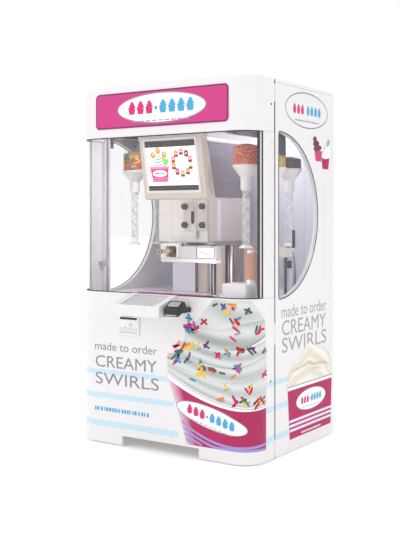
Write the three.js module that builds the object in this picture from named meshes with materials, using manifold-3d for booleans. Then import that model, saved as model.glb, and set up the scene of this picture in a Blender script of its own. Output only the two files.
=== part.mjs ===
// Robot soft serve kiosk: a free-standing vending cabinet with a wrap-around glazed door,
// a soft serve freezer, gravity topping dispensers and a lift that hands the cup to the console.
// Millimetres, +Z up, front towards -Y, origin at the middle of the footprint on the floor.
import * as THREE from 'three';
import { mergeVertices } from 'three/addons/utils/BufferGeometryUtils.js';
import Module from 'manifold-3d';

const wasm = await Module();
wasm.setup();

// Driving dimensions of the cabinet.
const WIDTH = 1170;
const HEIGHT = 2000;
const CABINET_DEPTH = 935;     // flat front of the door to the rear face
const CONSOLE_REACH = 165;     // vend console, out from the flat front
const DOOR_DEPTH = 225;        // flat front of the door to the door seam
const CORNER_R = 130;          // vertical front corners
const DOOR_WALL = 18;
const SIDE_WALL = 25;
const ROOF_T = 18;
const BACK_T = 15;             // rear panels
const GAP = 0.3;               // between touching pieces
const TURN_GAP = 0.8;          // round a turning lock barrel
const DOOR_EDGE = 5.5;         // door edge to hinge axis
const PANEL_EDGE = 5;          // side panel edge to hinge axis
const FLOOR_CLEAR = 8;         // under the door and the side panels

// Heights.
const SILL_Z = 853;            // window bottom
const HEADER_Z = 1716;         // window top
const DECK_Z = 835;            // floor of the display chamber
const DECK_T = 18;
const RUNNER_H = 80;
const PALLET_HALF = 255;       // half width of the pallet truck gap
const PALLET_H = 60;

// Places along Y are measured from the flat front of the door.
const FRONT_Y = (CONSOLE_REACH - CABINET_DEPTH) / 2;
const fromFront = (depth) => FRONT_Y + depth;
const BACK_Y = fromFront(CABINET_DEPTH);
const SEAM_Y = fromFront(DOOR_DEPTH);
const HALF_W = WIDTH / 2;
const INNER_X = HALF_W - SIDE_WALL;
const DOOR_END_Y = SEAM_Y - DOOR_EDGE;
const PANEL_START_Y = SEAM_Y + PANEL_EDGE;
const HINGE_X = HALF_W - 4;
const HINGE_R = 4.6;

// Freezer.
const FREEZER = { x0: -245, x1: 95, y0: fromFront(330), y1: fromFront(800), z0: 1130, z1: 1700 };
const BARREL = { x: 18, z: 1281, r: 48, wall: 4 };

// Topping dispensers.
const JAR = {
  r: 71.5, wall: 3, flangeR: 82, topZ: 1760, coneTopZ: 1540, coneBottomZ: 1480,
  neckR: 29, neckBottomZ: 1417, tubeR: 21, footZ: 1124, footR: 41, bottomZ: 1108,
};
const JAR_PLACES = [
  { side: 1, depth: 190 }, { side: 1, depth: 486 }, { side: 1, depth: 674 },
  { side: -1, depth: 340 }, { side: -1, depth: 582 },
];
const JAR_X = 430;
const RACK_T = 12;
const AUGER = { r: 16.5, ribbon: 4, ribbonH: 7, pitch: 68, bottomZ: 1132, topZ: 1472, steps: 10 };

// Materials.
const material = (color, roughness, metalness, opacity = 1) =>
  new THREE.MeshStandardMaterial({ color, roughness, metalness, opacity, transparent: opacity < 1 });
const PAINT = material('#eceaea', 0.35, 0);
const LINER = material('#d8d4dc', 0.5, 0);
const STEEL = material('#b9b6b4', 0.3, 0.9);
const DARK_STEEL = material('#55565a', 0.45, 0.8);
const BLACK = material('#161618', 0.4, 0);
const GLASS = material('#dfe9ee', 0.05, 0, 0.25);
const CLEAR = material('#eef2f4', 0.1, 0, 0.3);
const WHITE = material('#f1efec', 0.45, 0);
const BEIGE = material('#d9d2c9', 0.5, 0);
const PINK = material('#d9186f', 0.4, 0);
const GREY = material('#b4b2b8', 0.45, 0.1);
const BRASS = material('#c79a52', 0.3, 0.8);
const KRAFT = material('#b98a6c', 0.7, 0);

const kiosk = new THREE.Group();

// ---------------------------------------------------------------- solids

function boxSolid(x0, x1, y0, y1, z0, z1) {
  const geometry = new THREE.BoxGeometry(x1 - x0, y1 - y0, z1 - z0);
  return geometry.translate((x0 + x1) / 2, (y0 + y1) / 2, (z0 + z1) / 2);
}

function outline(points) {
  return new THREE.Shape(points.map(([a, b]) => new THREE.Vector2(a, b)));
}

// Plan outline in X and Y, raised from z0 to z1.
function prismZ(points, z0, z1) {
  const geometry = new THREE.ExtrudeGeometry(outline(points), { depth: z1 - z0, bevelEnabled: false });
  return geometry.translate(0, 0, z0);
}

// Side outline in Y and Z, drawn out from x0 to x1.
function prismX(points, x0, x1) {
  const geometry = new THREE.ExtrudeGeometry(outline(points), { depth: x1 - x0, bevelEnabled: false });
  const axes = new THREE.Matrix4().makeBasis(
    new THREE.Vector3(0, 1, 0),
    new THREE.Vector3(0, 0, 1),
    new THREE.Vector3(1, 0, 0),
  );
  return geometry.applyMatrix4(axes).translate(x0, 0, 0);
}

// Front outline in X and Z, drawn back from y0 to y1.
function prismY(points, y0, y1) {
  const geometry = new THREE.ExtrudeGeometry(outline(points), { depth: y1 - y0, bevelEnabled: false });
  const axes = new THREE.Matrix4().makeBasis(
    new THREE.Vector3(1, 0, 0),
    new THREE.Vector3(0, 0, 1),
    new THREE.Vector3(0, -1, 0),
  );
  return geometry.applyMatrix4(axes).translate(0, y1, 0);
}

function cylinderZ(x, y, r, z0, z1, segments = 16) {
  const geometry = new THREE.CylinderGeometry(r, r, z1 - z0, segments);
  return geometry.rotateX(Math.PI / 2).translate(x, y, (z0 + z1) / 2);
}

function cylinderY(x, z, r, y0, y1, segments = 16) {
  return new THREE.CylinderGeometry(r, r, y1 - y0, segments).translate(x, (y0 + y1) / 2, z);
}

function cylinderX(y, z, r, x0, x1, segments = 16) {
  const geometry = new THREE.CylinderGeometry(r, r, x1 - x0, segments);
  return geometry.rotateZ(Math.PI / 2).translate((x0 + x1) / 2, y, z);
}

// Closed profile of [radius, z] pairs, turned about a vertical axis.
function revolve(profile, x, y, segments = 16) {
  const points = profile.map(([r, z]) => new THREE.Vector2(r, z));
  return new THREE.LatheGeometry(points, segments).rotateX(Math.PI / 2).translate(x, y, 0);
}

function closedMesh(geometry) {
  const bare = geometry.clone();
  bare.deleteAttribute('normal');
  bare.deleteAttribute('uv');
  return mergeVertices(bare, 1e-3);
}

function toManifold(geometry) {
  const bare = closedMesh(geometry);
  return new wasm.Manifold(new wasm.Mesh({
    numProp: 3,
    vertProperties: Float32Array.from(bare.attributes.position.array),
    triVerts: Uint32Array.from(bare.index.array),
  }));
}

function fromManifold(solid) {
  const mesh = solid.getMesh();
  const geometry = new THREE.BufferGeometry();
  geometry.setAttribute('position', new THREE.BufferAttribute(mesh.vertProperties, 3));
  geometry.setIndex(new THREE.BufferAttribute(mesh.triVerts, 1));
  return geometry;
}

function join(first, ...others) {
  return fromManifold(others.reduce((sum, each) => sum.add(toManifold(each)), toManifold(first)));
}

function cut(body, ...tools) {
  return fromManifold(tools.reduce((rest, each) => rest.subtract(toManifold(each)), toManifold(body)));
}

function common(first, second) {
  return fromManifold(toManifold(first).intersect(toManifold(second)));
}

function piece(name, geometry, look) {
  const mesh = new THREE.Mesh(geometry, look);
  mesh.name = name;
  kiosk.add(mesh);
}

// ---------------------------------------------------------------- plan of the wrap-around door

// Open plan line of the door face, set in by `inset`, from the left seam round the front to the right seam.
function wrapLine(inset, endY, segments = 8) {
  const r = CORNER_R - inset;
  const cx = HALF_W - CORNER_R;
  const cy = FRONT_Y + CORNER_R;
  const left = [];
  for (let i = 0; i <= segments; i += 1) {
    const a = Math.PI + (Math.PI / 2) * (i / segments);
    left.push([-cx + r * Math.cos(a), cy + r * Math.sin(a)]);
  }
  const right = left.map(([x, y]) => [-x, y]).reverse();
  return [[-HALF_W + inset, endY], ...left, ...right, [HALF_W - inset, endY]];
}

function wrapShell(insetOut, insetIn, endY, z0, z1) {
  return prismZ([...wrapLine(insetOut, endY), ...wrapLine(insetIn, endY).reverse()], z0, z1);
}

// ---------------------------------------------------------------- cabinet

function cabinet() {
  const runnerWidth = 120;
  const runnerInner = PALLET_HALF + 7;
  for (const [name, side] of [['runner_left', -1], ['runner_right', 1]]) {
    const x = side > 0 ? runnerInner : -runnerInner - runnerWidth;
    piece(name, boxSolid(x, x + runnerWidth, SEAM_Y + 20, BACK_Y - 20, 0, RUNNER_H), DARK_STEEL);
  }
  const deckX = INNER_X - GAP;
  piece('base_deck', boxSolid(-deckX, deckX, SEAM_Y + 20, BACK_Y - 20, RUNNER_H + GAP, 100), DARK_STEEL);
  piece(
    'chamber_deck',
    boxSolid(-deckX, deckX, SEAM_Y + 8, BACK_Y - BACK_T - GAP, DECK_Z - DECK_T, DECK_Z),
    LINER,
  );
  piece(
    'roof_panel',
    boxSolid(-HALF_W, HALF_W, PANEL_START_Y, BACK_Y, HEIGHT - ROOF_T, HEIGHT),
    PAINT,
  );
  const rear = boxSolid(-deckX, deckX, BACK_Y - BACK_T, BACK_Y, DECK_Z - DECK_T, HEIGHT - ROOF_T - GAP);
  piece('back_panel', powerInlet(rear), PAINT);
}

// Mains inlet sunk into the rear panel: a recess with three blades.
function powerInlet(panel) {
  const x = -440;
  const z = 872;
  const floorY = BACK_Y - 11;
  const recess = boxSolid(x - 14, x + 14, floorY, BACK_Y + 5, z - 10, z + 10);
  const blades = [[-7, -2], [0, 3], [7, -2]].map(([dx, dz]) =>
    boxSolid(x + dx - 1, x + dx + 1, floorY - 1, BACK_Y - 2, z + dz - 2, z + dz + 2));
  return join(cut(panel, recess), ...blades);
}

// Half-round side window: a straight front edge and an elliptical rear edge.
const SIDE_WINDOW = { front: 264, centre: 270, reach: 459, midZ: 1282, halfH: 446, corner: 16, segments: 20 };

function sideWindowOutline(inset) {
  const w = SIDE_WINDOW;
  const points = [[fromFront(w.front + inset), w.midZ - w.halfH + w.corner]];
  for (let i = 0; i <= w.segments; i += 1) {
    const a = -Math.PI / 2 + Math.PI * (i / w.segments);
    const y = fromFront(w.centre) + (w.reach - inset) * Math.cos(a);
    points.push([y, w.midZ + (w.halfH - inset) * Math.sin(a)]);
  }
  points.push([fromFront(w.front + inset), w.midZ + w.halfH - w.corner]);
  return points;
}

function sides() {
  const glassT = 6;
  const glassSet = 2;
  for (const [suffix, side] of [['left', -1], ['right', 1]]) {
    const x0 = side > 0 ? INNER_X : -HALF_W;
    const wall = boxSolid(x0, x0 + SIDE_WALL, PANEL_START_Y, BACK_Y, FLOOR_CLEAR, HEIGHT - ROOF_T - GAP);
    const opening = prismX(sideWindowOutline(0), x0 - 5, x0 + SIDE_WALL + 5);
    piece(`side_panel_${suffix}`, cut(wall, opening), PAINT);
    const g0 = side > 0 ? HALF_W - glassSet - glassT : -HALF_W + glassSet;
    piece(`side_window_${suffix}`, prismX(sideWindowOutline(GAP), g0, g0 + glassT), GLASS);
  }
}

function serviceDoor() {
  const halfX = INNER_X - 3;
  const slots = [];
  const slotH = 12;
  for (let i = 0; i < 9; i += 1) {
    const z = 190 + i * 32;
    slots.push(boxSolid(-230, 230, BACK_Y - BACK_T - 5, BACK_Y + 5, z, z + slotH));
  }
  const leaf = boxSolid(-halfX, halfX, BACK_Y - BACK_T, BACK_Y, RUNNER_H + 4, DECK_Z - DECK_T - 3);
  piece('service_door', cut(leaf, ...slots), PAINT);
}

function doorHinges() {
  for (const [name, z0, z1] of [
    ['door_hinge_top', 1880, 1970],
    ['door_hinge_middle', 605, 715],
    ['door_hinge_bottom', 16, 106],
  ]) {
    const barrel = cylinderZ(HINGE_X, SEAM_Y, HINGE_R, z0, z1, 12);
    const leaf = boxSolid(INNER_X - 6, HINGE_X, SEAM_Y + 1, SEAM_Y + PANEL_EDGE - GAP, z0, z1);
    piece(name, join(barrel, leaf), STEEL);
  }
}

// ---------------------------------------------------------------- door

const VEND = { x0: -187, x1: 116, openX0: -139, openX1: 68, openFront: -150, openBack: -25 };
const LOCK = { depth: 187, z: 1000, r: 9 };
const NOTE = { x0: -277, x1: -133, z0: 620, z1: 738, out: 10 };

function doorShells() {
  const roofed = cut(
    prismZ(wrapLine(0, DOOR_END_Y), HEADER_Z, HEIGHT),
    prismZ(wrapLine(DOOR_WALL, DOOR_END_Y + 5), HEADER_Z - 5, HEIGHT - ROOF_T),
  );
  piece('door_header', roofed, PAINT);

  const lower = cut(
    wrapShell(0, DOOR_WALL, DOOR_END_Y, FLOOR_CLEAR, SILL_Z),
    boxSolid(-PALLET_HALF, PALLET_HALF, FRONT_Y - 5, FRONT_Y + 30, 0, PALLET_H),
    boxSolid(VEND.openX0, VEND.openX1, FRONT_Y - 5, FRONT_Y + 30, 766, 838),
    boxSolid(NOTE.x0 + 8, NOTE.x1 - 8, FRONT_Y - 5, FRONT_Y + 30, NOTE.z0 + 8, NOTE.z1 - 8),
  );
  piece('door_lower_panel', lower, PAINT);

  const ring = wrapShell(0, DOOR_WALL, DOOR_END_Y, SILL_Z + GAP, HEADER_Z - GAP);
  const postStart = fromFront(107);
  for (const [name, x0, x1] of [
    ['door_post_left', -HALF_W - 5, 0],
    ['door_post_right', 0, HALF_W + 5],
  ]) {
    const post = common(ring, boxSolid(x0, x1, postStart, DOOR_END_Y + 5, SILL_Z, HEADER_Z));
    const lockHole = cylinderX(fromFront(LOCK.depth), LOCK.z, LOCK.r + TURN_GAP, -HALF_W - 5, -INNER_X, 12);
    piece(name, x0 < -HALF_W ? cut(post, lockHole) : post, PAINT);
  }
  const paneLine = wrapShell(3, 9, DOOR_END_Y, SILL_Z + GAP, HEADER_Z - GAP);
  const pane = common(paneLine, boxSolid(-HALF_W, HALF_W, FRONT_Y, postStart - GAP, SILL_Z, HEADER_Z));
  piece('door_window', pane, GLASS);
}

function roundedRect(x0, x1, z0, z1, r, segments = 4) {
  const points = [];
  for (const [cx, cz, start] of [
    [x1 - r, z0 + r, -Math.PI / 2], [x1 - r, z1 - r, 0], [x0 + r, z1 - r, Math.PI / 2], [x0 + r, z0 + r, Math.PI],
  ]) {
    for (let i = 0; i <= segments; i += 1) {
      const a = start + (Math.PI / 2) * (i / segments);
      points.push([cx + r * Math.cos(a), cz + r * Math.sin(a)]);
    }
  }
  return points;
}

function doorFittings() {
  piece('sign_panel', prismY(roundedRect(-440, 440, 1763, 1960, 25), FRONT_Y - 5, FRONT_Y - GAP), PINK);

  // Housing of the display, hung inside the header and tipped to face a standing customer.
  const wallY = DOOR_WALL + GAP;
  const housing = [
    [wallY, 1810], [wallY, 1732], [60, 1732], [123, 1376], [131, 1370], [206, 1370],
    [213, 1378], [117, 1745], [117, 1810],
  ];
  piece('display_housing', prismX(housing.map(([d, z]) => [fromFront(d), z]), -190, 224), BEIGE);

  // Box on the door behind the sill, right of the console.
  const payment = [[60, 700], [190, 700], [190, 920], [184, 926], [66, 926], [60, 920]];
  piece(
    'payment_enclosure',
    join(
      prismX(payment.map(([d, z]) => [fromFront(d), z]), 355, 500),
      boxSolid(355, 450, fromFront(wallY), fromFront(65), 700, 845),
    ),
    WHITE,
  );

  // Key lock of the door, in the left return.
  const lockY = fromFront(LOCK.depth);
  piece(
    'door_lock',
    join(
      cylinderX(lockY, LOCK.z, LOCK.r, -HALF_W - 0.5, -HALF_W + DOOR_WALL + 14, 12),
      boxSolid(-HALF_W + DOOR_WALL + 4, -HALF_W + DOOR_WALL + 10, lockY - 8, lockY + 8, LOCK.z - 38, LOCK.z + 8),
    ),
    STEEL,
  );
}

// Vend console: a hollow box on the door with a sloping top and a flap over the cup opening.
function vendConsole() {
  const out = (reach) => FRONT_Y - reach;
  const wall = 5;
  const shellLine = [
    [out(GAP), 856], [out(152), 810], [out(162), 803], [out(CONSOLE_REACH), 794],
    [out(CONSOLE_REACH), 756], [out(158), 747], [out(GAP), 756],
  ];
  const cavityLine = [
    [out(-5), 852.6], [out(150), 804], [out(160), 796], [out(160), 757], [out(154), 752], [out(-5), 762],
  ];
  const slopeAt = (reach) => 856 - ((856 - 810) / 152) * reach;
  const back = -VEND.openBack;
  const front = -VEND.openFront;
  const openingLine = [
    [out(back), slopeAt(back) + 12], [out(front), slopeAt(front) + 12],
    [out(front), slopeAt(front) - 12], [out(back), slopeAt(back) - 12],
  ];
  piece(
    'vend_console',
    cut(
      prismX(shellLine, VEND.x0, VEND.x1),
      prismX(cavityLine, VEND.x0 + wall, VEND.x1 - wall),
      prismX(openingLine, VEND.openX0, VEND.openX1),
    ),
    PAINT,
  );
  const flapLine = [
    [out(back + 2), slopeAt(back + 2) - 0.5], [out(front - 2), slopeAt(front - 2) - 0.5],
    [out(front - 2), slopeAt(front - 2) - 4], [out(back + 2), slopeAt(back + 2) - 4],
  ];
  piece('vend_flap', prismX(flapLine, VEND.openX0 + 2, VEND.openX1 - 2), CLEAR);
}

// Note acceptor: bezel on the door, note slot, key lock and coin return, with its body behind the door.
function noteAcceptor() {
  const face = FRONT_Y - NOTE.out;
  const bezel = prismY(roundedRect(NOTE.x0, NOTE.x1, NOTE.z0, NOTE.z1, 10, 3), face, FRONT_Y - GAP);
  const body = boxSolid(NOTE.x0 + 9, NOTE.x1 - 9, FRONT_Y - 5, fromFront(150), NOTE.z0 + 9, NOTE.z1 - 9);
  const slot = boxSolid(-264, -146, face - 5, fromFront(90), 708, 720);
  const cup = boxSolid(-264, -146, face - 5, fromFront(40), 634, 660);
  const keyway = cylinderY(-187, 680, 9 + TURN_GAP, face - 5, fromFront(40), 12);
  piece('note_acceptor', cut(join(bezel, body), slot, cup, keyway), PAINT);
  piece('coin_flap', boxSolid(-263, -147, face + 1, face + 4, 635, 659), STEEL);
  piece('service_key_lock', cylinderY(-187, 680, 9, face - 0.5, fromFront(20), 12), STEEL);
}

function cardReader() {
  const body = [[-150, 757], [-61, 795], [-89, 838], [-150, 798]];
  const arm = [[-66, 770], [-GAP, 770], [-GAP, 800], [-80, 800]];
  piece(
    'card_reader',
    join(
      prismX(body.map(([d, z]) => [fromFront(d), z]), 133, 229),
      prismX(arm.map(([d, z]) => [fromFront(d), z]), 155, 207),
    ),
    BLACK,
  );
}

// ---------------------------------------------------------------- freezer

function freezer() {
  const f = FREEZER;
  const wall = 8;
  const shell = cut(
    boxSolid(f.x0, f.x1, f.y0, f.y1, f.z0, f.z1),
    boxSolid(f.x0 + wall, f.x1 - wall, f.y0 + wall, f.y1 + 5, f.z0 + wall, f.z1 - wall),
    cylinderY(BARREL.x, BARREL.z, BARREL.r + BARREL.wall + GAP, f.y0 - 5, f.y0 + wall + 5, 24),
  );
  piece('freezer_cabinet', shell, STEEL);

  const barrelStart = f.y0 + GAP;
  const barrelEnd = f.y0 + 300;
  piece(
    'freezing_barrel',
    cut(
      cylinderY(BARREL.x, BARREL.z, BARREL.r + BARREL.wall, barrelStart, barrelEnd, 24),
      cylinderY(BARREL.x, BARREL.z, BARREL.r, barrelStart - 5, barrelEnd - 6, 24),
      cylinderY(BARREL.x, BARREL.z, 12, barrelEnd - 20, barrelEnd + 5, 12),
    ),
    STEEL,
  );

  // Beater: a shaft through the rear seal with two pitched blades.
  const shaft = cylinderY(BARREL.x, BARREL.z, 11, barrelStart + 6, barrelEnd + 18, 12);
  const blades = [];
  const steps = 7;
  const bladeHalf = BARREL.r - 2;
  for (let i = 0; i < steps; i += 1) {
    const blade = boxSolid(-bladeHalf, bladeHalf, -20, 20, -4, 4);
    blade.rotateY((Math.PI / 5) * i).translate(BARREL.x, barrelStart + 30 + i * 36, BARREL.z);
    blades.push(blade);
  }
  piece('beater', join(shaft, ...blades), STEEL);

  const motorStart = barrelEnd + 22;
  piece(
    'drive_motor',
    join(
      boxSolid(BARREL.x - 55, BARREL.x + 55, motorStart, motorStart + 40, f.z0 + wall + GAP, BARREL.z + 55),
      cylinderY(BARREL.x, BARREL.z, 48, motorStart + 30, motorStart + 130, 16),
    ),
    DARK_STEEL,
  );

  const pedestalX = 50;
  const pedestalY = fromFront(600);
  piece(
    'freezer_pedestal',
    join(
      cylinderZ(pedestalX, pedestalY, 50, DECK_Z + GAP, f.z0 - GAP, 20),
      boxSolid(f.x0 + 20, f.x0 + 60, f.y0 + 60, f.y1 - 30, DECK_Z + GAP, f.z0 - GAP),
      boxSolid(f.x0 + 20, f.x1 - 20, f.y0 + 60, f.y1 - 30, f.z0 - 20, f.z0 - GAP),
    ),
    STEEL,
  );
}

// Draw head: a plate with the spout, held by four hand screws, and a plunger worked by a black handle.
function drawHead() {
  const face = FREEZER.y0;
  const plateY = face - 18;
  const columnY = face - 28;
  const plungerY = face - 14;
  const bottomZ = 1196;
  const topZ = 1366;
  const plate = boxSolid(BARREL.x - 76, BARREL.x + 76, plateY, face - GAP, bottomZ, topZ);
  const column = boxSolid(BARREL.x - 17, BARREL.x + 17, columnY, face - GAP, bottomZ, topZ);
  const spout = cylinderZ(BARREL.x, plungerY, 13.4, 1150, bottomZ + 4, 16);
  const plungerBore = cylinderZ(BARREL.x, plungerY, 10.4, 1140, topZ + 14, 16);
  const screwX = 60;
  const screwZ = [1228, 1333];
  const corners = [[-1, 0], [1, 0], [-1, 1], [1, 1]];
  const places = corners.map(([side, row]) => [BARREL.x + side * screwX, screwZ[row]]);
  const bores = places.map(([x, z]) => cylinderY(x, z, 6.4, plateY - 5, face + 5, 12));
  piece('draw_head', cut(join(plate, column, spout), plungerBore, ...bores), WHITE);
  places.forEach(([x, z], i) => {
    const knobFrom = plateY - 26;
    const knobTo = plateY - 4;
    const lobes = [0, 1, 2, 3].map((k) => {
      const a = (Math.PI / 2) * k + Math.PI / 4;
      return cylinderY(x + 10 * Math.cos(a), z + 10 * Math.sin(a), 7, knobFrom, knobTo, 8);
    });
    const stud = cylinderY(x, z, 6, knobFrom + 6, face - 2, 12);
    piece(`hand_screw_${i + 1}`, join(cylinderY(x, z, 12, knobFrom, knobTo, 12), stud, ...lobes), BLACK);
  });
  const handleFrom = columnY - 18;
  const rodTop = topZ + 26;
  piece(
    'draw_plunger',
    join(
      cylinderZ(BARREL.x, plungerY, 10, 1158, rodTop, 16),
      boxSolid(BARREL.x - 6, BARREL.x + 6, handleFrom, plungerY, rodTop - 12, rodTop),
      boxSolid(BARREL.x - 6, BARREL.x + 6, handleFrom, columnY - 5, 1235, rodTop),
    ),
    BLACK,
  );
}

function coolingUnit() {
  piece(
    'compressor',
    join(
      cylinderZ(-260, fromFront(560), 95, 112, 330, 20),
      boxSolid(-370, -150, fromFront(450), fromFront(670), 100 + GAP, 114),
    ),
    BLACK,
  );
  // Condenser fan: shroud around a rotor that blows out of the rear louvres.
  const fanY = fromFront(850);
  const fanX = 0;
  const fanZ = 330;
  const ring = cut(
    boxSolid(fanX - 150, fanX + 150, fanY - 40, fanY, fanZ - 150, fanZ + 150),
    cylinderY(fanX, fanZ, 132, fanY - 45, fanY + 5, 24),
  );
  const spider = [
    boxSolid(fanX - 140, fanX + 140, fanY - 40, fanY - 34, fanZ - 6, fanZ + 6),
    cylinderY(fanX, fanZ, 30, fanY - 40, fanY - 30, 16),
    boxSolid(fanX - 150, fanX + 150, fanY - 40, fanY, 100 + GAP, fanZ - 140),
  ];
  piece('fan_shroud', join(ring, ...spider), DARK_STEEL);
  const hub = cylinderY(fanX, fanZ, 28, fanY - 29.5, fanY - 6, 16);
  const blades = [];
  for (let i = 0; i < 5; i += 1) {
    const blade = new THREE.BoxGeometry(96, 4, 46).rotateX(0.35).translate(74, 0, 0);
    blades.push(blade.rotateY((2 * Math.PI * i) / 5).translate(fanX, fanY - 17, fanZ));
  }
  piece('condenser_fan', join(hub, ...blades), BLACK);
}

// ---------------------------------------------------------------- toppings

function toppingRacks() {
  const z0 = JAR.topZ - RACK_T - 6;
  for (const [name, side] of [['topping_rack_left', -1], ['topping_rack_right', 1]]) {
    const front = side > 0 ? 112 : 262;
    const bracketFrom = 240;
    const plan = [
      [340, front], [520, front], [520, Math.max(front, bracketFrom)], [INNER_X - GAP, Math.max(front, bracketFrom)],
      [INNER_X - GAP, 770], [340, 770],
    ].filter(([x, d], i, all) => i === 0 || x !== all[i - 1][0] || d !== all[i - 1][1]);
    const points = plan.map(([x, d]) => [side * x, fromFront(d)]);
    const holes = JAR_PLACES.filter((place) => place.side === side).map((place) =>
      cylinderZ(side * JAR_X, fromFront(place.depth), JAR.r + 0.8, z0 - 5, z0 + RACK_T + 5, 24));
    const plate = prismZ(side > 0 ? points : points.reverse(), z0, z0 + RACK_T);
    piece(name, cut(plate, ...holes), GREY);
  }
}

function toppingJar(name, x, y) {
  const j = JAR;
  const flangeZ = j.topZ - 6;
  const profile = [
    [j.footR, j.bottomZ], [j.tubeR, j.footZ], [j.tubeR, j.neckBottomZ], [j.neckR, j.neckBottomZ],
    [j.neckR, j.coneBottomZ], [j.r, j.coneTopZ], [j.r, flangeZ + GAP], [j.flangeR, flangeZ + GAP],
    [j.flangeR, j.topZ], [j.r - j.wall, j.topZ], [j.r - j.wall, j.coneTopZ],
    [j.neckR - j.wall, j.coneBottomZ], [j.tubeR - j.wall, j.neckBottomZ + 14],
    [j.tubeR - j.wall, j.footZ], [j.footR - j.wall - 2, j.bottomZ], [j.footR, j.bottomZ],
  ];
  piece(name, revolve(profile, x, y, 20), CLEAR);
}

// Coil auger: a flat ribbon wound in a helix, hung from a short hub on its spindle.
function toppingAuger(name, x, y) {
  const g = AUGER;
  const height = g.topZ - g.bottomZ - g.ribbonH;
  const turns = height / g.pitch;
  const count = Math.round(turns * g.steps);
  const position = [];
  const index = [];
  for (let i = 0; i <= count; i += 1) {
    const a = (2 * Math.PI * i) / g.steps;
    const z = g.bottomZ + (height * i) / count;
    for (const [r, up] of [[g.r, 0], [g.r, g.ribbonH], [g.r - g.ribbon, g.ribbonH], [g.r - g.ribbon, 0]]) {
      position.push(x + r * Math.cos(a), y + r * Math.sin(a), z + up);
    }
  }
  for (let i = 0; i < count; i += 1) {
    for (let k = 0; k < 4; k += 1) {
      const a = 4 * i + k;
      const b = 4 * i + ((k + 1) % 4);
      index.push(a, a + 4, b, b, a + 4, b + 4);
    }
  }
  const last = 4 * count;
  index.push(0, 1, 2, 0, 2, 3, last, last + 2, last + 1, last, last + 3, last + 2);
  const ribbon = new THREE.BufferGeometry();
  ribbon.setAttribute('position', new THREE.Float32BufferAttribute(position, 3));
  ribbon.setIndex(index);
  const lastAngle = (2 * Math.PI * count) / g.steps;
  const hub = boxSolid(-5, g.r - 1, -4, 4, g.topZ - 12, g.topZ - 2).rotateZ(lastAngle).translate(x, y, 0);
  const spindle = cylinderZ(x, y, 4, g.topZ - 12, JAR.coneTopZ - 30, 8);
  piece(name, join(ribbon, hub, spindle), WHITE);
}

function toppings() {
  toppingRacks();
  JAR_PLACES.forEach(({ side, depth }, i) => {
    toppingJar(`topping_jar_${i + 1}`, side * JAR_X, fromFront(depth));
    toppingAuger(`topping_auger_${i + 1}`, side * JAR_X, fromFront(depth));
  });
}

// ---------------------------------------------------------------- cup handling

function cupHandling() {
  const mast = { x: 179, y: fromFront(258), half: 13 };
  const mastHole = mast.half + 0.5;
  piece(
    'lift_mast',
    boxSolid(
      mast.x - mast.half, mast.x + mast.half, mast.y - mast.half, mast.y + mast.half, DECK_Z + GAP, 1118,
    ),
    BLACK,
  );
  const rodX = -83;
  const rodZ = 1081;
  const rodR = 13;
  const y0 = fromFront(226);
  const y1 = fromFront(290);
  piece(
    'lift_carriage',
    cut(
      join(
        prismZ(roundedPlan(84, 214, y0, y1, 14), 1036, 1112),
        boxSolid(-158, 214, y0 + 2, y1 - 2, 1018, 1040),
        boxSolid(-40, 92, y0 + 6, y1 - 6, 1036, 1108),
        boxSolid(-158, -36, y0, y1, 1030, 1124),
      ),
      boxSolid(mast.x - mastHole, mast.x + mastHole, mast.y - mastHole, mast.y + mastHole, 1000, 1130),
      boxSolid(-121, -48, y0 - 5, y0 + 34, 1046, 1109),
      cylinderY(rodX, rodZ, rodR + 0.5, y0 - 5, y1 + 5, 24),
    ),
    GREY,
  );
  const rod = cut(
    cylinderY(rodX, rodZ, rodR, fromFront(110), fromFront(384), 20),
    cylinderY(rodX, rodZ, 7, fromFront(105), fromFront(135), 16),
  );
  piece('transfer_rod', rod, BRASS);

  const tubeX = 262;
  const tubeY = fromFront(520);
  const tubeR = 38;
  piece(
    'cup_magazine',
    join(
      cut(cylinderZ(tubeX, tubeY, tubeR, 870, 1108, 20), cylinderZ(tubeX, tubeY, tubeR - 3, 865, 1113, 20)),
      boxSolid(tubeX - 30, tubeX - 18, tubeY + 20, tubeY + 60, DECK_Z + GAP, 1000),
      boxSolid(tubeX + 18, tubeX + 30, tubeY + 20, tubeY + 60, DECK_Z + GAP, 1000),
    ),
    KRAFT,
  );
  const benchX = [372, 500];
  const bench = [fromFront(540), fromFront(630)];
  piece(
    'cup_dispenser',
    join(
      boxSolid(benchX[0], benchX[1], bench[0], bench[1], 1030, 1062),
      boxSolid(benchX[0] + 10, benchX[1] - 30, bench[0] + 8, bench[1] - 20, 1055, 1100),
      boxSolid(benchX[1] - 20, benchX[1], bench[0] + 40, bench[1], DECK_Z + GAP, 1040),
    ),
    BEIGE,
  );
}

function roundedPlan(x0, x1, y0, y1, r) {
  return roundedRect(x0, x1, y0, y1, r, 3);
}

cabinet();
sides();
serviceDoor();
doorHinges();
doorShells();
doorFittings();
vendConsole();
noteAcceptor();
cardReader();
freezer();
drawHead();
coolingUnit();
toppings();
cupHandling();

export default kiosk;
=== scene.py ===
"""Looks of the robot soft serve kiosk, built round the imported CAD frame. Metres, +Z up, door towards -Y."""
import math
import random

import bmesh
import bpy
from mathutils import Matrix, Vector
from mathutils.geometry import tessellate_polygon


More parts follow.
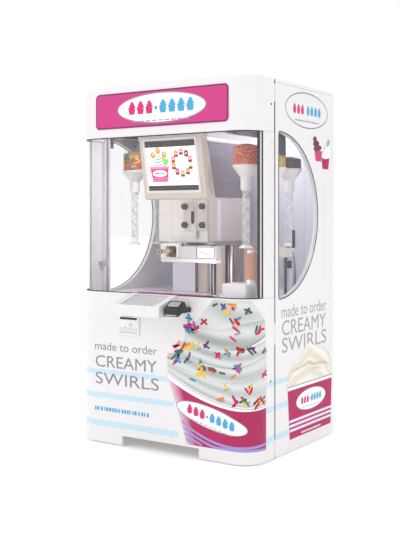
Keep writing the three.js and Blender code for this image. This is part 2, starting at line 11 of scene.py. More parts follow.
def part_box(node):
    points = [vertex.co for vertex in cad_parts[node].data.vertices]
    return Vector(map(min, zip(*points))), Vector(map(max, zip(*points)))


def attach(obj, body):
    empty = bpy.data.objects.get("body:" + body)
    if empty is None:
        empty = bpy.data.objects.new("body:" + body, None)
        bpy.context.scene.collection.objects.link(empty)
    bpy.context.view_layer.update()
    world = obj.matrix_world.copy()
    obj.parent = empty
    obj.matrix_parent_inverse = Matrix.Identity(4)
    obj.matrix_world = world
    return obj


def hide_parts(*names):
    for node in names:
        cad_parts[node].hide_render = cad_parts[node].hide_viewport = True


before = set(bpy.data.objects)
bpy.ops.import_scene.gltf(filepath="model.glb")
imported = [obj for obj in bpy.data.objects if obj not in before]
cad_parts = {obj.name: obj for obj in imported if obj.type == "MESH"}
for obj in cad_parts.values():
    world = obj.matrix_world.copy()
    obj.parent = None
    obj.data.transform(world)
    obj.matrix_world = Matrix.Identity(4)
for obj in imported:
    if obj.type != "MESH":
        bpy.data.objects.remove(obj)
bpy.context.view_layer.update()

# ------------------------------------------------------------------ places taken from the frame

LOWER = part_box("door_lower_panel")
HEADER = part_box("door_header")
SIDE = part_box("side_panel_right")
FRONT = LOWER[0][1]
HALF = LOWER[1][0]
DOOR_END = LOWER[1][1]
SILL = LOWER[1][2]
HEAD = HEADER[0][2]
TOP = HEADER[1][2]
SIDE_START = SIDE[0][1]
INNER = SIDE[0][0]
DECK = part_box("chamber_deck")[1][2]
CORNER_R = 0.130
WALL = 0.018
FLAT = HALF - CORNER_R                      # half length of the flat front
ARC = CORNER_R * math.pi / 2
RETURN_S = FLAT + ARC                       # where the side return starts, along the unrolled door
END_S = RETURN_S + DOOR_END - (FRONT + CORNER_R)


def depth(d):
    """Y of a place that lies d metres behind the flat front."""
    return FRONT + d


# ------------------------------------------------------------------ materials

def shader(name):
    mat = bpy.data.materials.new(name)
    mat.use_nodes = True
    return mat, mat.node_tree.nodes, mat.node_tree.links


def object_coords(nodes, links, stretch):
    coord = nodes.new("ShaderNodeTexCoord")
    mapping = nodes.new("ShaderNodeMapping")
    mapping.inputs["Scale"].default_value = stretch
    links.new(coord.outputs["Object"], mapping.inputs["Vector"])
    return mapping.outputs["Vector"]


def noise(nodes, links, vector, scale, detail=3.0):
    tex = nodes.new("ShaderNodeTexNoise")
    tex.inputs["Scale"].default_value = scale
    tex.inputs["Detail"].default_value = detail
    links.new(vector, tex.inputs["Vector"])
    return tex.outputs["Fac"]


def remap(nodes, links, value, low, high):
    node = nodes.new("ShaderNodeMapRange")
    node.inputs["From Min"].default_value = 0.3
    node.inputs["From Max"].default_value = 0.7
    node.inputs["To Min"].default_value = low
    node.inputs["To Max"].default_value = high
    links.new(value, node.inputs["Value"])
    return node.outputs["Result"]


def blend_colors(nodes, links, value, first, second):
    mix = nodes.new("ShaderNodeMix")
    mix.data_type = "RGBA"
    mix.inputs["A"].default_value = (*first, 1)
    mix.inputs["B"].default_value = (*second, 1)
    links.new(value, mix.inputs["Factor"])
    return mix.outputs["Result"]


def bump(nodes, links, value, strength, distance, target):
    node = nodes.new("ShaderNodeBump")
    node.inputs["Strength"].default_value = strength
    node.inputs["Distance"].default_value = distance
    links.new(value, node.inputs["Height"])
    links.new(node.outputs["Normal"], target.inputs["Normal"])


def surface(name, color, rough, metal=0.0, vary=0.05, cloud=3.0, grain=900.0, grain_depth=0.0001,
            grain_strength=0.15, rough_vary=0.06, stretch=(1, 1, 1), alpha=1.0, coat=0.0, specular=0.5):
    """Painted, moulded or metal surface: cloudy colour, uneven gloss and a fine grain."""
    mat, nodes, links = shader(name)
    bsdf = nodes["Principled BSDF"]
    vector = object_coords(nodes, links, stretch)
    dark = tuple(c * (1 - vary) for c in color)
    light = tuple(min(1.0, c * (1 + vary * 0.6)) for c in color)
    clouds = noise(nodes, links, vector, cloud)
    links.new(blend_colors(nodes, links, remap(nodes, links, clouds, 0, 1), dark, light),
              bsdf.inputs["Base Color"])
    fine = noise(nodes, links, vector, grain, 2.0)
    low, high = max(0.02, rough - rough_vary), rough + rough_vary
    links.new(remap(nodes, links, noise(nodes, links, vector, cloud * 4), low, high),
              bsdf.inputs["Roughness"])
    bump(nodes, links, fine, grain_strength, grain_depth, bsdf)
    bsdf.inputs["Metallic"].default_value = metal
    bsdf.inputs["Alpha"].default_value = alpha
    bsdf.inputs["Coat Weight"].default_value = coat
    bsdf.inputs["Specular IOR Level"].default_value = specular
    return mat


def brushed(name, color, rough, direction=(1, 1, 40), vary=0.08):
    return surface(name, color, rough, metal=1.0, vary=vary, cloud=2.5, grain=70.0, grain_depth=0.00015,
                   grain_strength=0.12, rough_vary=0.08, stretch=direction)


def glow(name, color, strength):
    mat, nodes, links = shader(name)
    bsdf = nodes["Principled BSDF"]
    vector = object_coords(nodes, links, (1, 1, 1))
    dim = tuple(c * 0.93 for c in color)
    tint = blend_colors(nodes, links, noise(nodes, links, vector, 30.0), dim, color)
    links.new(tint, bsdf.inputs["Base Color"])
    links.new(tint, bsdf.inputs["Emission Color"])
    bsdf.inputs["Emission Strength"].default_value = strength
    bsdf.inputs["Roughness"].default_value = 0.5
    return mat


def granules(name, colors, cells):
    """A bed of small sweets: one colour for each cell, rounded by a bump from the cell distance and darkened
    towards each cell edge as painted shade between the sweets.
    """
    mat, nodes, links = shader(name)
    bsdf = nodes["Principled BSDF"]
    vector = object_coords(nodes, links, (1, 1, 1.5))
    cell = nodes.new("ShaderNodeTexVoronoi")
    cell.inputs["Scale"].default_value = cells
    links.new(vector, cell.inputs["Vector"])
    split = nodes.new("ShaderNodeSeparateColor")
    links.new(cell.outputs["Color"], split.inputs["Color"])
    ramp = nodes.new("ShaderNodeValToRGB")
    ramp.color_ramp.interpolation = "CONSTANT"
    stops = ramp.color_ramp.elements
    stops.remove(stops[1])
    for i, color in enumerate(colors):
        stop = stops.new(i / len(colors)) if i else stops[0]
        stop.color = (*color, 1)
    links.new(split.outputs["Red"], ramp.inputs["Fac"])
    # Painted shade: each sweet's colour is darkened towards its cell edge, where the sweets meet.
    shade = nodes.new("ShaderNodeMix")
    shade.data_type = "RGBA"
    shade.blend_type = "MULTIPLY"
    shade.inputs["Factor"].default_value = 1.0
    falloff = nodes.new("ShaderNodeMapRange")
    falloff.inputs["From Max"].default_value = 0.75
    falloff.inputs["To Min"].default_value = 1.0
    falloff.inputs["To Max"].default_value = 0.75
    links.new(cell.outputs["Distance"], falloff.inputs["Value"])
    links.new(ramp.outputs["Color"], shade.inputs["A"])
    links.new(falloff.outputs["Result"], shade.inputs["B"])
    links.new(shade.outputs["Result"], bsdf.inputs["Base Color"])
    bsdf.inputs["Roughness"].default_value = 0.35
    bump(nodes, links, falloff.outputs["Result"], 0.6, 0.002, bsdf)
    return mat


def painted_print(name, rough=0.4):
    """Printed film whose colours are held per point on the mesh."""
    mat, nodes, links = shader(name)
    bsdf = nodes["Principled BSDF"]
    held = nodes.new("ShaderNodeVertexColor")
    held.layer_name = "ink"
    vector = object_coords(nodes, links, (1, 1, 1))
    mix = nodes.new("ShaderNodeMix")
    mix.data_type = "RGBA"
    mix.blend_type = "MULTIPLY"
    mix.inputs["Factor"].default_value = 1.0
    speckle = blend_colors(nodes, links, noise(nodes, links, vector, 260.0), (0.96, 0.96, 0.96), (1, 1, 1))
    links.new(held.outputs["Color"], mix.inputs["A"])
    links.new(speckle, mix.inputs["B"])
    links.new(mix.outputs["Result"], bsdf.inputs["Base Color"])
    bsdf.inputs["Roughness"].default_value = rough
    return mat


PAINT = surface("paint", (0.765, 0.75, 0.76), 0.32, vary=0.02, grain=700, grain_depth=0.0001, coat=0.15)
# Inside copy of the paint, darker and lilac: painted shade and painted lilac lamp light on the inner faces.
PAINT_IN_SHADED = surface("paint_inside_shaded", (0.72, 0.69, 0.76), 0.5, vary=0.04)
# Chamber lining: its lilac colour is painted lilac lamp light from the chamber LEDs.
LINER = surface("liner", (0.72, 0.69, 0.76), 0.32, vary=0.06, cloud=1.6)
LINER_WHITE = surface("liner_white", (0.82, 0.80, 0.82), 0.4, vary=0.03)
STEEL = brushed("steel", (0.72, 0.70, 0.69), 0.3)
# Dark steel for the freezer hood: its darkness is a painted reflection.
STEEL_DARK_REFLECTION = brushed("steel_dark_reflection", (0.27, 0.245, 0.25), 0.22, vary=0.15)
ENAMEL = surface("enamel", (0.12, 0.12, 0.13), 0.45, grain=500, grain_depth=0.0003)
BLACK = surface("black_moulding", (0.018, 0.018, 0.02), 0.38, vary=0.2, grain=1200, grain_depth=0.0002)
BLACK_GLOSS = surface("black_gloss", (0.01, 0.01, 0.012), 0.12, vary=0.2, grain=400, grain_depth=0.00002)
RUBBER = surface("rubber", (0.03, 0.028, 0.03), 0.6, vary=0.2, grain=900, grain_depth=0.0002)
GLASS = surface("glass", (0.86, 0.90, 0.93), 0.06, vary=0.02, grain_strength=0.0, alpha=0.025,
                rough_vary=0.02)
GLASS_SIDE = surface("glass_side", (0.56, 0.68, 0.82), 0.08, vary=0.03, grain_strength=0.0, alpha=0.05,
                     rough_vary=0.02)
CLEAR = surface("clear_plastic", (0.90, 0.92, 0.93), 0.12, vary=0.02, grain_strength=0.02, alpha=0.03,
                rough_vary=0.03)
TUBE = surface("tube_plastic", (0.88, 0.86, 0.87), 0.2, vary=0.02, grain_strength=0.02, alpha=0.20,
               rough_vary=0.03)
WHITE = surface("white_plastic", (0.78, 0.76, 0.75), 0.42, vary=0.03, grain=1000, grain_depth=0.0001)
FROST = surface("frosted_plastic", (0.80, 0.75, 0.74), 0.5, vary=0.03, alpha=0.93)
BEIGE = surface("beige_plastic", (0.60, 0.53, 0.48), 0.5, vary=0.04, grain=1100, grain_depth=0.0002)
GREY = surface("grey_plastic", (0.55, 0.53, 0.57), 0.42, vary=0.05, grain=1000, grain_depth=0.0002)
PINK = surface("pink_acrylic", (0.58, 0.045, 0.225), 0.42, vary=0.07, cloud=2.0, grain=300, specular=0.3,
               grain_depth=0.00003)
OUTLINE = surface("outline_grey", (0.28, 0.27, 0.29), 0.45)
INK_WHITE = surface("ink_white", (0.88, 0.88, 0.90), 0.4, vary=0.015)
INK_GREY = surface("ink_grey", (0.26, 0.255, 0.28), 0.5, vary=0.05, specular=0.25)
INK_MID = surface("ink_mid", (0.36, 0.35, 0.38), 0.5, vary=0.05, specular=0.25)
INK_BLUE = surface("ink_blue", (0.07, 0.38, 0.66), 0.45, vary=0.05, specular=0.25)
INK_PALE = surface("ink_pale_blue", (0.53, 0.70, 0.80), 0.45, vary=0.02)
INK_CUP = surface("ink_magenta", (0.43, 0.004, 0.095), 0.45, vary=0.10, cloud=2.2, specular=0.25)
INK_LILAC = surface("ink_lilac", (0.33, 0.29, 0.60), 0.45, vary=0.08, specular=0.25)
INK_LINE = surface("ink_plum", (0.16, 0.005, 0.10), 0.4)
INK_PINK = surface("ink_pink", (0.66, 0.03, 0.17), 0.45, specular=0.25)
INK_BROWN = surface("ink_brown", (0.14, 0.04, 0.03), 0.45, specular=0.25)
BRASS = brushed("brass", (0.80, 0.60, 0.33), 0.28, direction=(1, 30, 1))
KRAFT = surface("kraft_card", (0.50, 0.28, 0.20), 0.75, vary=0.1, grain=500, grain_depth=0.0004)
LIGHT = glow("led_diffuser", (0.72, 0.70, 0.76), 0.1)
PRINT = painted_print("printed_film")
INK_SHADE = surface("ink_shade", (0.30, 0.33, 0.32), 0.5, vary=0.05)
INK_BLUE_SOFT = surface("ink_blue_soft", (0.52, 0.70, 0.80), 0.45, vary=0.04)
INK_STRIPE = surface("ink_stripe", (0.72, 0.70, 0.84), 0.4, vary=0.03)
FLAP_MAT = surface("smoked_clear", (0.74, 0.75, 0.78), 0.16, vary=0.04, grain_strength=0.02, alpha=0.62)
READER_SCREEN = surface("reader_screen", (0.42, 0.40, 0.42), 0.25, vary=0.06)
BEIGE_LIGHT = surface("case_moulding", (0.74, 0.70, 0.68), 0.4, vary=0.04, grain=900, grain_depth=0.0001)
BLACK_SCREEN = surface("screen_black", (0.035, 0.03, 0.035), 0.2, vary=0.1)
SCREEN_WHITE = glow("screen_white", (0.86, 0.83, 0.82), 0.55)
SCREEN_INKS = {name: glow(f"screen_{name}", color, 0.35) for name, color in (
    ("orange", (0.90, 0.26, 0.03)), ("peach", (0.95, 0.62, 0.42)), ("cream", (0.90, 0.90, 0.86)),
    ("green", (0.16, 0.62, 0.08)), ("pink", (0.66, 0.02, 0.18)), ("rose", (0.90, 0.24, 0.42)),
    ("plum", (0.20, 0.02, 0.05)), ("blue", (0.10, 0.45, 0.75)), ("shade", (0.30, 0.33, 0.31)),
    ("olive", (0.42, 0.40, 0.10)))}
FREEZER_STEEL = surface("freezer_steel", (0.72, 0.68, 0.66), 0.36, metal=0.45, vary=0.06, cloud=1.2,
                        grain=60.0, grain_depth=0.0001, stretch=(1, 1, 30))
COLUMN_STEEL = surface("column_steel", (0.50, 0.44, 0.45), 0.20, metal=1.0, vary=0.10, cloud=2.0, grain=80.0,
                       grain_depth=0.00008, stretch=(30, 30, 1))
# Warm grey band for the freezer's side: painted reflection in its steel.
SIDE_REFLECTION_SHEET = surface("side_sheet", (0.66, 0.60, 0.59), 0.35, metal=0.3, vary=0.12, cloud=1.4)
LEG_PAINT = surface("leg_paint", (0.62, 0.52, 0.46), 0.45, vary=0.08, cloud=5.0)
HEAD_MAT = surface("head_polymer", (0.63, 0.585, 0.57), 0.30, vary=0.03, grain=500, grain_depth=0.00005)
KNOB = surface("knob_moulding", (0.055, 0.05, 0.055), 0.5, vary=0.2, grain=900, grain_depth=0.0002)
RECESS = surface("recess_grey", (0.16, 0.14, 0.18), 0.5, vary=0.15)
MAST = surface("mast_anodised", (0.045, 0.045, 0.055), 0.35, metal=0.4, vary=0.15, grain=200,
               grain_depth=0.00005, stretch=(10, 10, 1))
SLEEVE = surface("sleeve_grey", (0.58, 0.57, 0.62), 0.35, vary=0.05)
COPPER = brushed("copper_pipe", (0.62, 0.28, 0.16), 0.3, direction=(1, 1, 10))

# ------------------------------------------------------------------ mesh helpers

scene = bpy.context.scene


def place(name, bm, materials, body, replaces=(), smooth=30):
    mesh = bpy.data.meshes.new(name)
    for face in bm.faces:
        face.smooth = True
    bm.to_mesh(mesh)
    bm.free()
    mesh.set_sharp_from_angle(angle=math.radians(smooth))
    for mat in materials if isinstance(materials, (list, tuple)) else [materials]:
        mesh.materials.append(mat)
    obj = bpy.data.objects.new(name, mesh)
    scene.collection.objects.link(obj)
    weighted = obj.modifiers.new("even_normals", "WEIGHTED_NORMAL")
    weighted.keep_sharp = True
    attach(obj, body)
    if replaces:
        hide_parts(*replaces)
    return obj


def bevel_sharp(bm, width, segments=3, angle=35):
    if width <= 0:
        return
    limit = math.radians(angle)
    edges = [e for e in bm.edges if len(e.link_faces) == 2 and e.calc_face_angle(0) > limit]
    bmesh.ops.bevel(bm, geom=edges, offset=width, segments=segments, profile=0.5, affect="EDGES",
                    clamp_overlap=True)


def solid(verts, faces, bevel=0.0, segments=3, angle=35):
    bm = bmesh.new()
    points = [bm.verts.new(v) for v in verts]
    for face in faces:
        try:
            bm.faces.new([points[i] for i in face])
        except ValueError:
            continue
    bmesh.ops.remove_doubles(bm, verts=bm.verts, dist=1e-6)
    bmesh.ops.recalc_face_normals(bm, faces=bm.faces)
    bevel_sharp(bm, bevel, segments, angle)
    return bm


def merge(bm, other):
    """Adds other's geometry to bm and frees other."""
    mesh = bpy.data.meshes.new("scratch")
    other.to_mesh(mesh)
    other.free()
    bm.from_mesh(mesh)
    bpy.data.meshes.remove(mesh)
    return bm


def prism(points, axis, low, high, bevel=0.0, segments=3, angle=35):
    """Outline drawn out along axis: points are (y, z), (x, z) or (x, y)."""
    def at(a, b, c):
        return {"x": (c, a, b), "y": (a, c, b), "z": (a, b, c)}[axis]
    n = len(points)
    verts = [at(a, b, low) for a, b in points] + [at(a, b, high) for a, b in points]
    faces = [[(i + 1) % n, i, n + i, n + (i + 1) % n] for i in range(n)]
    faces += [list(range(n)), [n + i for i in reversed(range(n))]]
    return solid(verts, faces, bevel, segments, angle)


def block(lo, hi, bevel=0.002, segments=3):
    return prism([(lo[0], lo[1]), (hi[0], lo[1]), (hi[0], hi[1]), (lo[0], hi[1])], "z", lo[2], hi[2], bevel,
                 segments)


def rounded(lo, hi, r, steps=6):
    """Rounded rectangle outline between two corners."""
    points = []
    corners = [(hi[0] - r, lo[1] + r, -90), (hi[0] - r, hi[1] - r, 0), (lo[0] + r, hi[1] - r, 90),
               (lo[0] + r, lo[1] + r, 180)]
    for cx, cy, start in corners:
        for i in range(steps + 1):
            a = math.radians(start + 90 * i / steps)
            points.append((cx + r * math.cos(a), cy + r * math.sin(a)))
    return points


def ellipse(cx, cy, a, b, tilt=0.0, steps=64):
    c, s = math.cos(tilt), math.sin(tilt)
    points = []
    for i in range(steps):
        t = 2 * math.pi * i / steps
        x, y = a * math.cos(t), b * math.sin(t)
        points.append((cx + x * c - y * s, cy + x * s + y * c))
    return points


def lathe(profile, centre, axis="z", steps=48):
    """Closed profile of (radius, height) turned about an axis through centre."""
    def at(r, h, a):
        u, v = r * math.cos(a), r * math.sin(a)
        x, y, z = centre
        return {"z": (x + u, y + v, z + h), "y": (x + u, y + h, z + v), "x": (x + h, y + u, z + v)}[axis]
    n = len(profile)
    verts = [at(r, h, 2 * math.pi * i / steps) for i in range(steps) for r, h in profile]
    faces = []
    for i in range(steps):
        j = (i + 1) % steps
        for k in range(n):
            m = (k + 1) % n
            faces.append([i * n + k, i * n + m, j * n + m, j * n + k])
    bm = bmesh.new()
    points = [bm.verts.new(v) for v in verts]
    for face in faces:
        if len({tuple(round(c, 7) for c in verts[i]) for i in face}) > 2:
            bm.faces.new([points[i] for i in face])
    bmesh.ops.remove_doubles(bm, verts=bm.verts, dist=1e-6)
    bmesh.ops.recalc_face_normals(bm, faces=bm.faces)
    return bm


def pin(centre, axis, radius, low, high, bevel=0.001, steps=32):
    """Round bar with softened ends."""
    bevel = min(bevel, radius * 0.5, (high - low) * 0.4)
    profile = [(0, low), (radius - bevel, low), (radius - bevel * 0.3, low + bevel * 0.3),
               (radius, low + bevel),
               (radius, high - bevel), (radius - bevel * 0.3, high - bevel * 0.3), (radius - bevel, high),
               (0, high)]
    return lathe(profile, centre, axis, steps)


def strip(sections, bevel=0.0, segments=3, angle=35):
    """Bar through sections that have the same number of points, with closed ends."""
    n = len(sections[0])
    verts = [p for section in sections for p in section]
    faces = [[i * n + k, i * n + (k + 1) % n, (i + 1) * n + (k + 1) % n, (i + 1) * n + k]
             for i in range(len(sections) - 1) for k in range(n)]
    last = len(verts) - n
    faces += [list(reversed(range(n))), [last + k for k in range(n)]]
    return solid(verts, faces, bevel, segments, angle)


def sweep(path, radius, sides=12):
    """Round tube along a list of points, with closed ends."""
    points = [Vector(p) for p in path]
    rings = []
    normal = Vector((0, 0, 1))
    for i, p in enumerate(points):
        ahead = points[min(i + 1, len(points) - 1)] - points[max(i - 1, 0)]
        ahead.normalize()
        if abs(ahead.dot(normal)) > 0.9:
            normal = Vector((1, 0, 0))
        across = ahead.cross(normal).normalized()
        up = across.cross(ahead).normalized()
        normal = up
        rings.append([p + radius * (across * math.cos(a) + up * math.sin(a))
                      for a in (2 * math.pi * k / sides for k in range(sides))])
    return strip(rings)


def frame_on(at, loops, low, high, bevel):
    """Frame between two outlines on a sloping face, from the lift low to the lift high."""
    bm = bmesh.new()
    rings = [[bm.verts.new(at(x, r, lift)) for x, r in loop] for loop in loops for lift in (low, high)]
    n = len(loops[0])
    for i in range(n):
        j = (i + 1) % n
        for a, b in ((0, 1), (1, 3), (3, 2), (2, 0)):
            bm.faces.new([rings[a][i], rings[a][j], rings[b][j], rings[b][i]])
    bmesh.ops.recalc_face_normals(bm, faces=bm.faces)
    bevel_sharp(bm, bevel, 2, 40)
    return bm


# ------------------------------------------------------------------ the unrolled door surface

def on_door(s, z, out=0.0):
    """Point on the door face: s runs along the unrolled front from its middle, out is away from the face."""
    side = -1 if s < 0 else 1
    run = abs(s)
    r = CORNER_R + out
    if run <= FLAT:
        return Vector((s, FRONT - out, z))
    if run <= RETURN_S:
        a = (run - FLAT) / CORNER_R
        return Vector((side * (FLAT + r * math.sin(a)), FRONT + CORNER_R - r * math.cos(a), z))
    return Vector((side * (HALF + out), FRONT + CORNER_R + run - RETURN_S, z))


def on_side(sign):
    """Point on a side panel: a is the distance behind the flat front."""
    def at(a, z, out=0.0):
        return Vector((sign * (HALF + out), FRONT + a, z))
    return at


def cuts_between(low, high, step):
    n = max(1, math.ceil((high - low) / step - 1e-6))
    return [low + (high - low) * i / n for i in range(n + 1)]


def door_stations(low, high, step=0.0085):
    """Places along the door between low and high, closely spaced round the corners."""
    marks = sorted({low, high, *[m for m in (-RETURN_S, -FLAT, FLAT, RETURN_S) if low < m < high]})
    stations = []
    for a, b in zip(marks, marks[1:]):
        curved = FLAT - 1e-6 <= min(abs(a), abs(b)) and max(abs(a), abs(b)) <= RETURN_S + 1e-6
        stations += cuts_between(a, b, step if curved else 10.0)[:-1]
    return stations + [high]


def holed_sheet(us, vs, holes, at):
    """Closed sheet of cells between the lines us and vs, without the holes (u0, u1, v0, v1)."""
    bm = bmesh.new()
    grid = {}

    def vert(i, k, layer):
        key = (i, k, layer)
        if key not in grid:
            grid[key] = bm.verts.new(at(us[i], vs[k], layer))
        return grid[key]

    def kept(i, k):
        u, v = (us[i] + us[i + 1]) / 2, (vs[k] + vs[k + 1]) / 2
        return not any(u0 < u < u1 and v0 < v < v1 for u0, u1, v0, v1 in holes)
    cells = [(i, k) for i in range(len(us) - 1) for k in range(len(vs) - 1) if kept(i, k)]
    known = set(cells)
    sides = (((0, -1), (0, 1)), ((1, 0), (1, 2)), ((0, 1), (2, 3)), ((-1, 0), (3, 0)))
    for i, k in cells:
        ring = [(i, k), (i + 1, k), (i + 1, k + 1), (i, k + 1)]
        bm.faces.new([vert(*c, 0) for c in ring])
        bm.faces.new([vert(*c, 1) for c in reversed(ring)])
        for (di, dk), (a, b) in sides:
            if (i + di, k + dk) not in known:
                bm.faces.new([vert(*ring[b], 0), vert(*ring[a], 0), vert(*ring[a], 1), vert(*ring[b], 1)])
    bmesh.ops.recalc_face_normals(bm, faces=bm.faces)
    return bm


def wrap(s0, s1, z0, z1, out, thick, holes=(), bevel=0.0):
    """Sheet that follows the door face from s0 to s1, with rectangular holes (s0, s1, z0, z1)."""
    stations = sorted({*door_stations(s0, s1), *[s for hole in holes for s in hole[:2] if s0 < s < s1]})
    levels = sorted({z0, z1, *[z for hole in holes for z in hole[2:] if z0 < z < z1]})
    bm = holed_sheet(stations, levels, holes, lambda s, z, layer: on_door(s, z, out - layer * thick))
    bevel_sharp(bm, bevel, 3, 40)
    return bm


def holed_panel(lo, hi, holes):
    """Panel square to Y with rectangular holes (x0, x1, z0, z1)."""
    xs = sorted({lo.x, hi.x} | {x for hole in holes for x in hole[:2]})
    zs = sorted({lo.z, hi.z} | {z for hole in holes for z in hole[2:]})
    return holed_sheet(xs, zs, holes, lambda x, z, layer: (x, (lo.y, hi.y)[layer], z))


FILM = 0.00025


def thicken(bm, shape, tops, under, index=0):
    """Adds shape to bm as a slab between its tops and its under points, and frees shape."""
    for face in shape.faces:
        for side in ([tops[v] for v in face.verts], [under[v] for v in reversed(face.verts)]):
            bm.faces.new(side).material_index = index
    for edge in shape.edges:
        if len(edge.link_faces) == 1:
            a, b = edge.verts
            bm.faces.new([tops[a], tops[b], under[b], under[a]]).material_index = index
    shape.free()


def film(bm, loops, place_at, layer, index, cuts=()):
    """Adds one printed shape to bm: loops are outlines in surface coordinates, the first one outside."""
    flat = [p for loop in loops for p in loop]
    shape = bmesh.new()
    verts = [shape.verts.new((a, b, 0)) for a, b in flat]
    for tri in tessellate_polygon([[Vector((a, b, 0)) for a, b in loop] for loop in loops]):
        try:
            shape.faces.new([verts[i] for i in tri])
        except ValueError:
            continue
    low, high = min(p[0] for p in flat), max(p[0] for p in flat)
    for cut in cuts:
        if low < cut < high:
            geom = shape.verts[:] + shape.edges[:] + shape.faces[:]
            bmesh.ops.bisect_plane(shape, geom=geom, plane_co=(cut, 0, 0), plane_no=(1, 0, 0))
    raised = FILM * (layer + 1)
    tops = {v: bm.verts.new(place_at(v.co.x, v.co.y, raised)) for v in shape.verts}
    under = {v: bm.verts.new(place_at(v.co.x, v.co.y, raised - FILM * 0.8)) for v in shape.verts}
    thicken(bm, shape, tops, under, index)


DOOR_CUTS = [sign * (FLAT + ARC * i / 20) for i in range(21) for sign in (-1, 1)]


def prints(name, shapes, place_at, body, cuts=()):
    """One piece of printed film made of (loops, layer, material) shapes."""
    bm = bmesh.new()
    materials = []
    for loops, layer, mat in shapes:
        if mat not in materials:
            materials.append(mat)
        film(bm, loops, place_at, layer, materials.index(mat), cuts)
    bmesh.ops.recalc_face_normals(bm, faces=bm.faces)
    return place(name, bm, materials, body)


def lettering(name, lines, place_at, body, mat):
    """Plain generic words set in boxes: lines are (words, low, high, base, top)."""
    bm = bmesh.new()
    for words, low, high, base, top in lines:
        curve = bpy.data.curves.new(words, "FONT")
        curve.body = words
        curve.resolution_u = 4
        holder = bpy.data.objects.new(words, curve)
        scene.collection.objects.link(holder)
        bpy.context.view_layer.update()
        mesh = bpy.data.meshes.new_from_object(holder.evaluated_get(bpy.context.evaluated_depsgraph_get()))
        bpy.data.objects.remove(holder)
        xs, ys = [v.co.x for v in mesh.vertices], [v.co.y for v in mesh.vertices]
        letters = bmesh.new()
        letters.from_mesh(mesh)
        bpy.data.meshes.remove(mesh)
        bmesh.ops.remove_doubles(letters, verts=letters.verts, dist=1e-5)
        tops = {}
        under = {}
        for v in letters.verts:
            a = low + (v.co.x - min(xs)) / (max(xs) - min(xs)) * (high - low)
            b = base + (v.co.y - min(ys)) / (max(ys) - min(ys)) * (top - base)
            tops[v] = bm.verts.new(place_at(a, b, FILM * 2))
            under[v] = bm.verts.new(place_at(a, b, FILM * 0.2))
        thicken(bm, letters, tops, under)
    bmesh.ops.recalc_face_normals(bm, faces=bm.faces)
    return place(name, bm, mat, body)


# ------------------------------------------------------------------ door shells

NOTE_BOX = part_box("note_acceptor")
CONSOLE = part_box("vend_console")
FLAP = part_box("vend_flap")
NOTCH = 0.255
PALLET_TOP = 0.060
POST_START = FLAT + CORNER_R * math.acos((CORNER_R - 0.107) / CORNER_R)


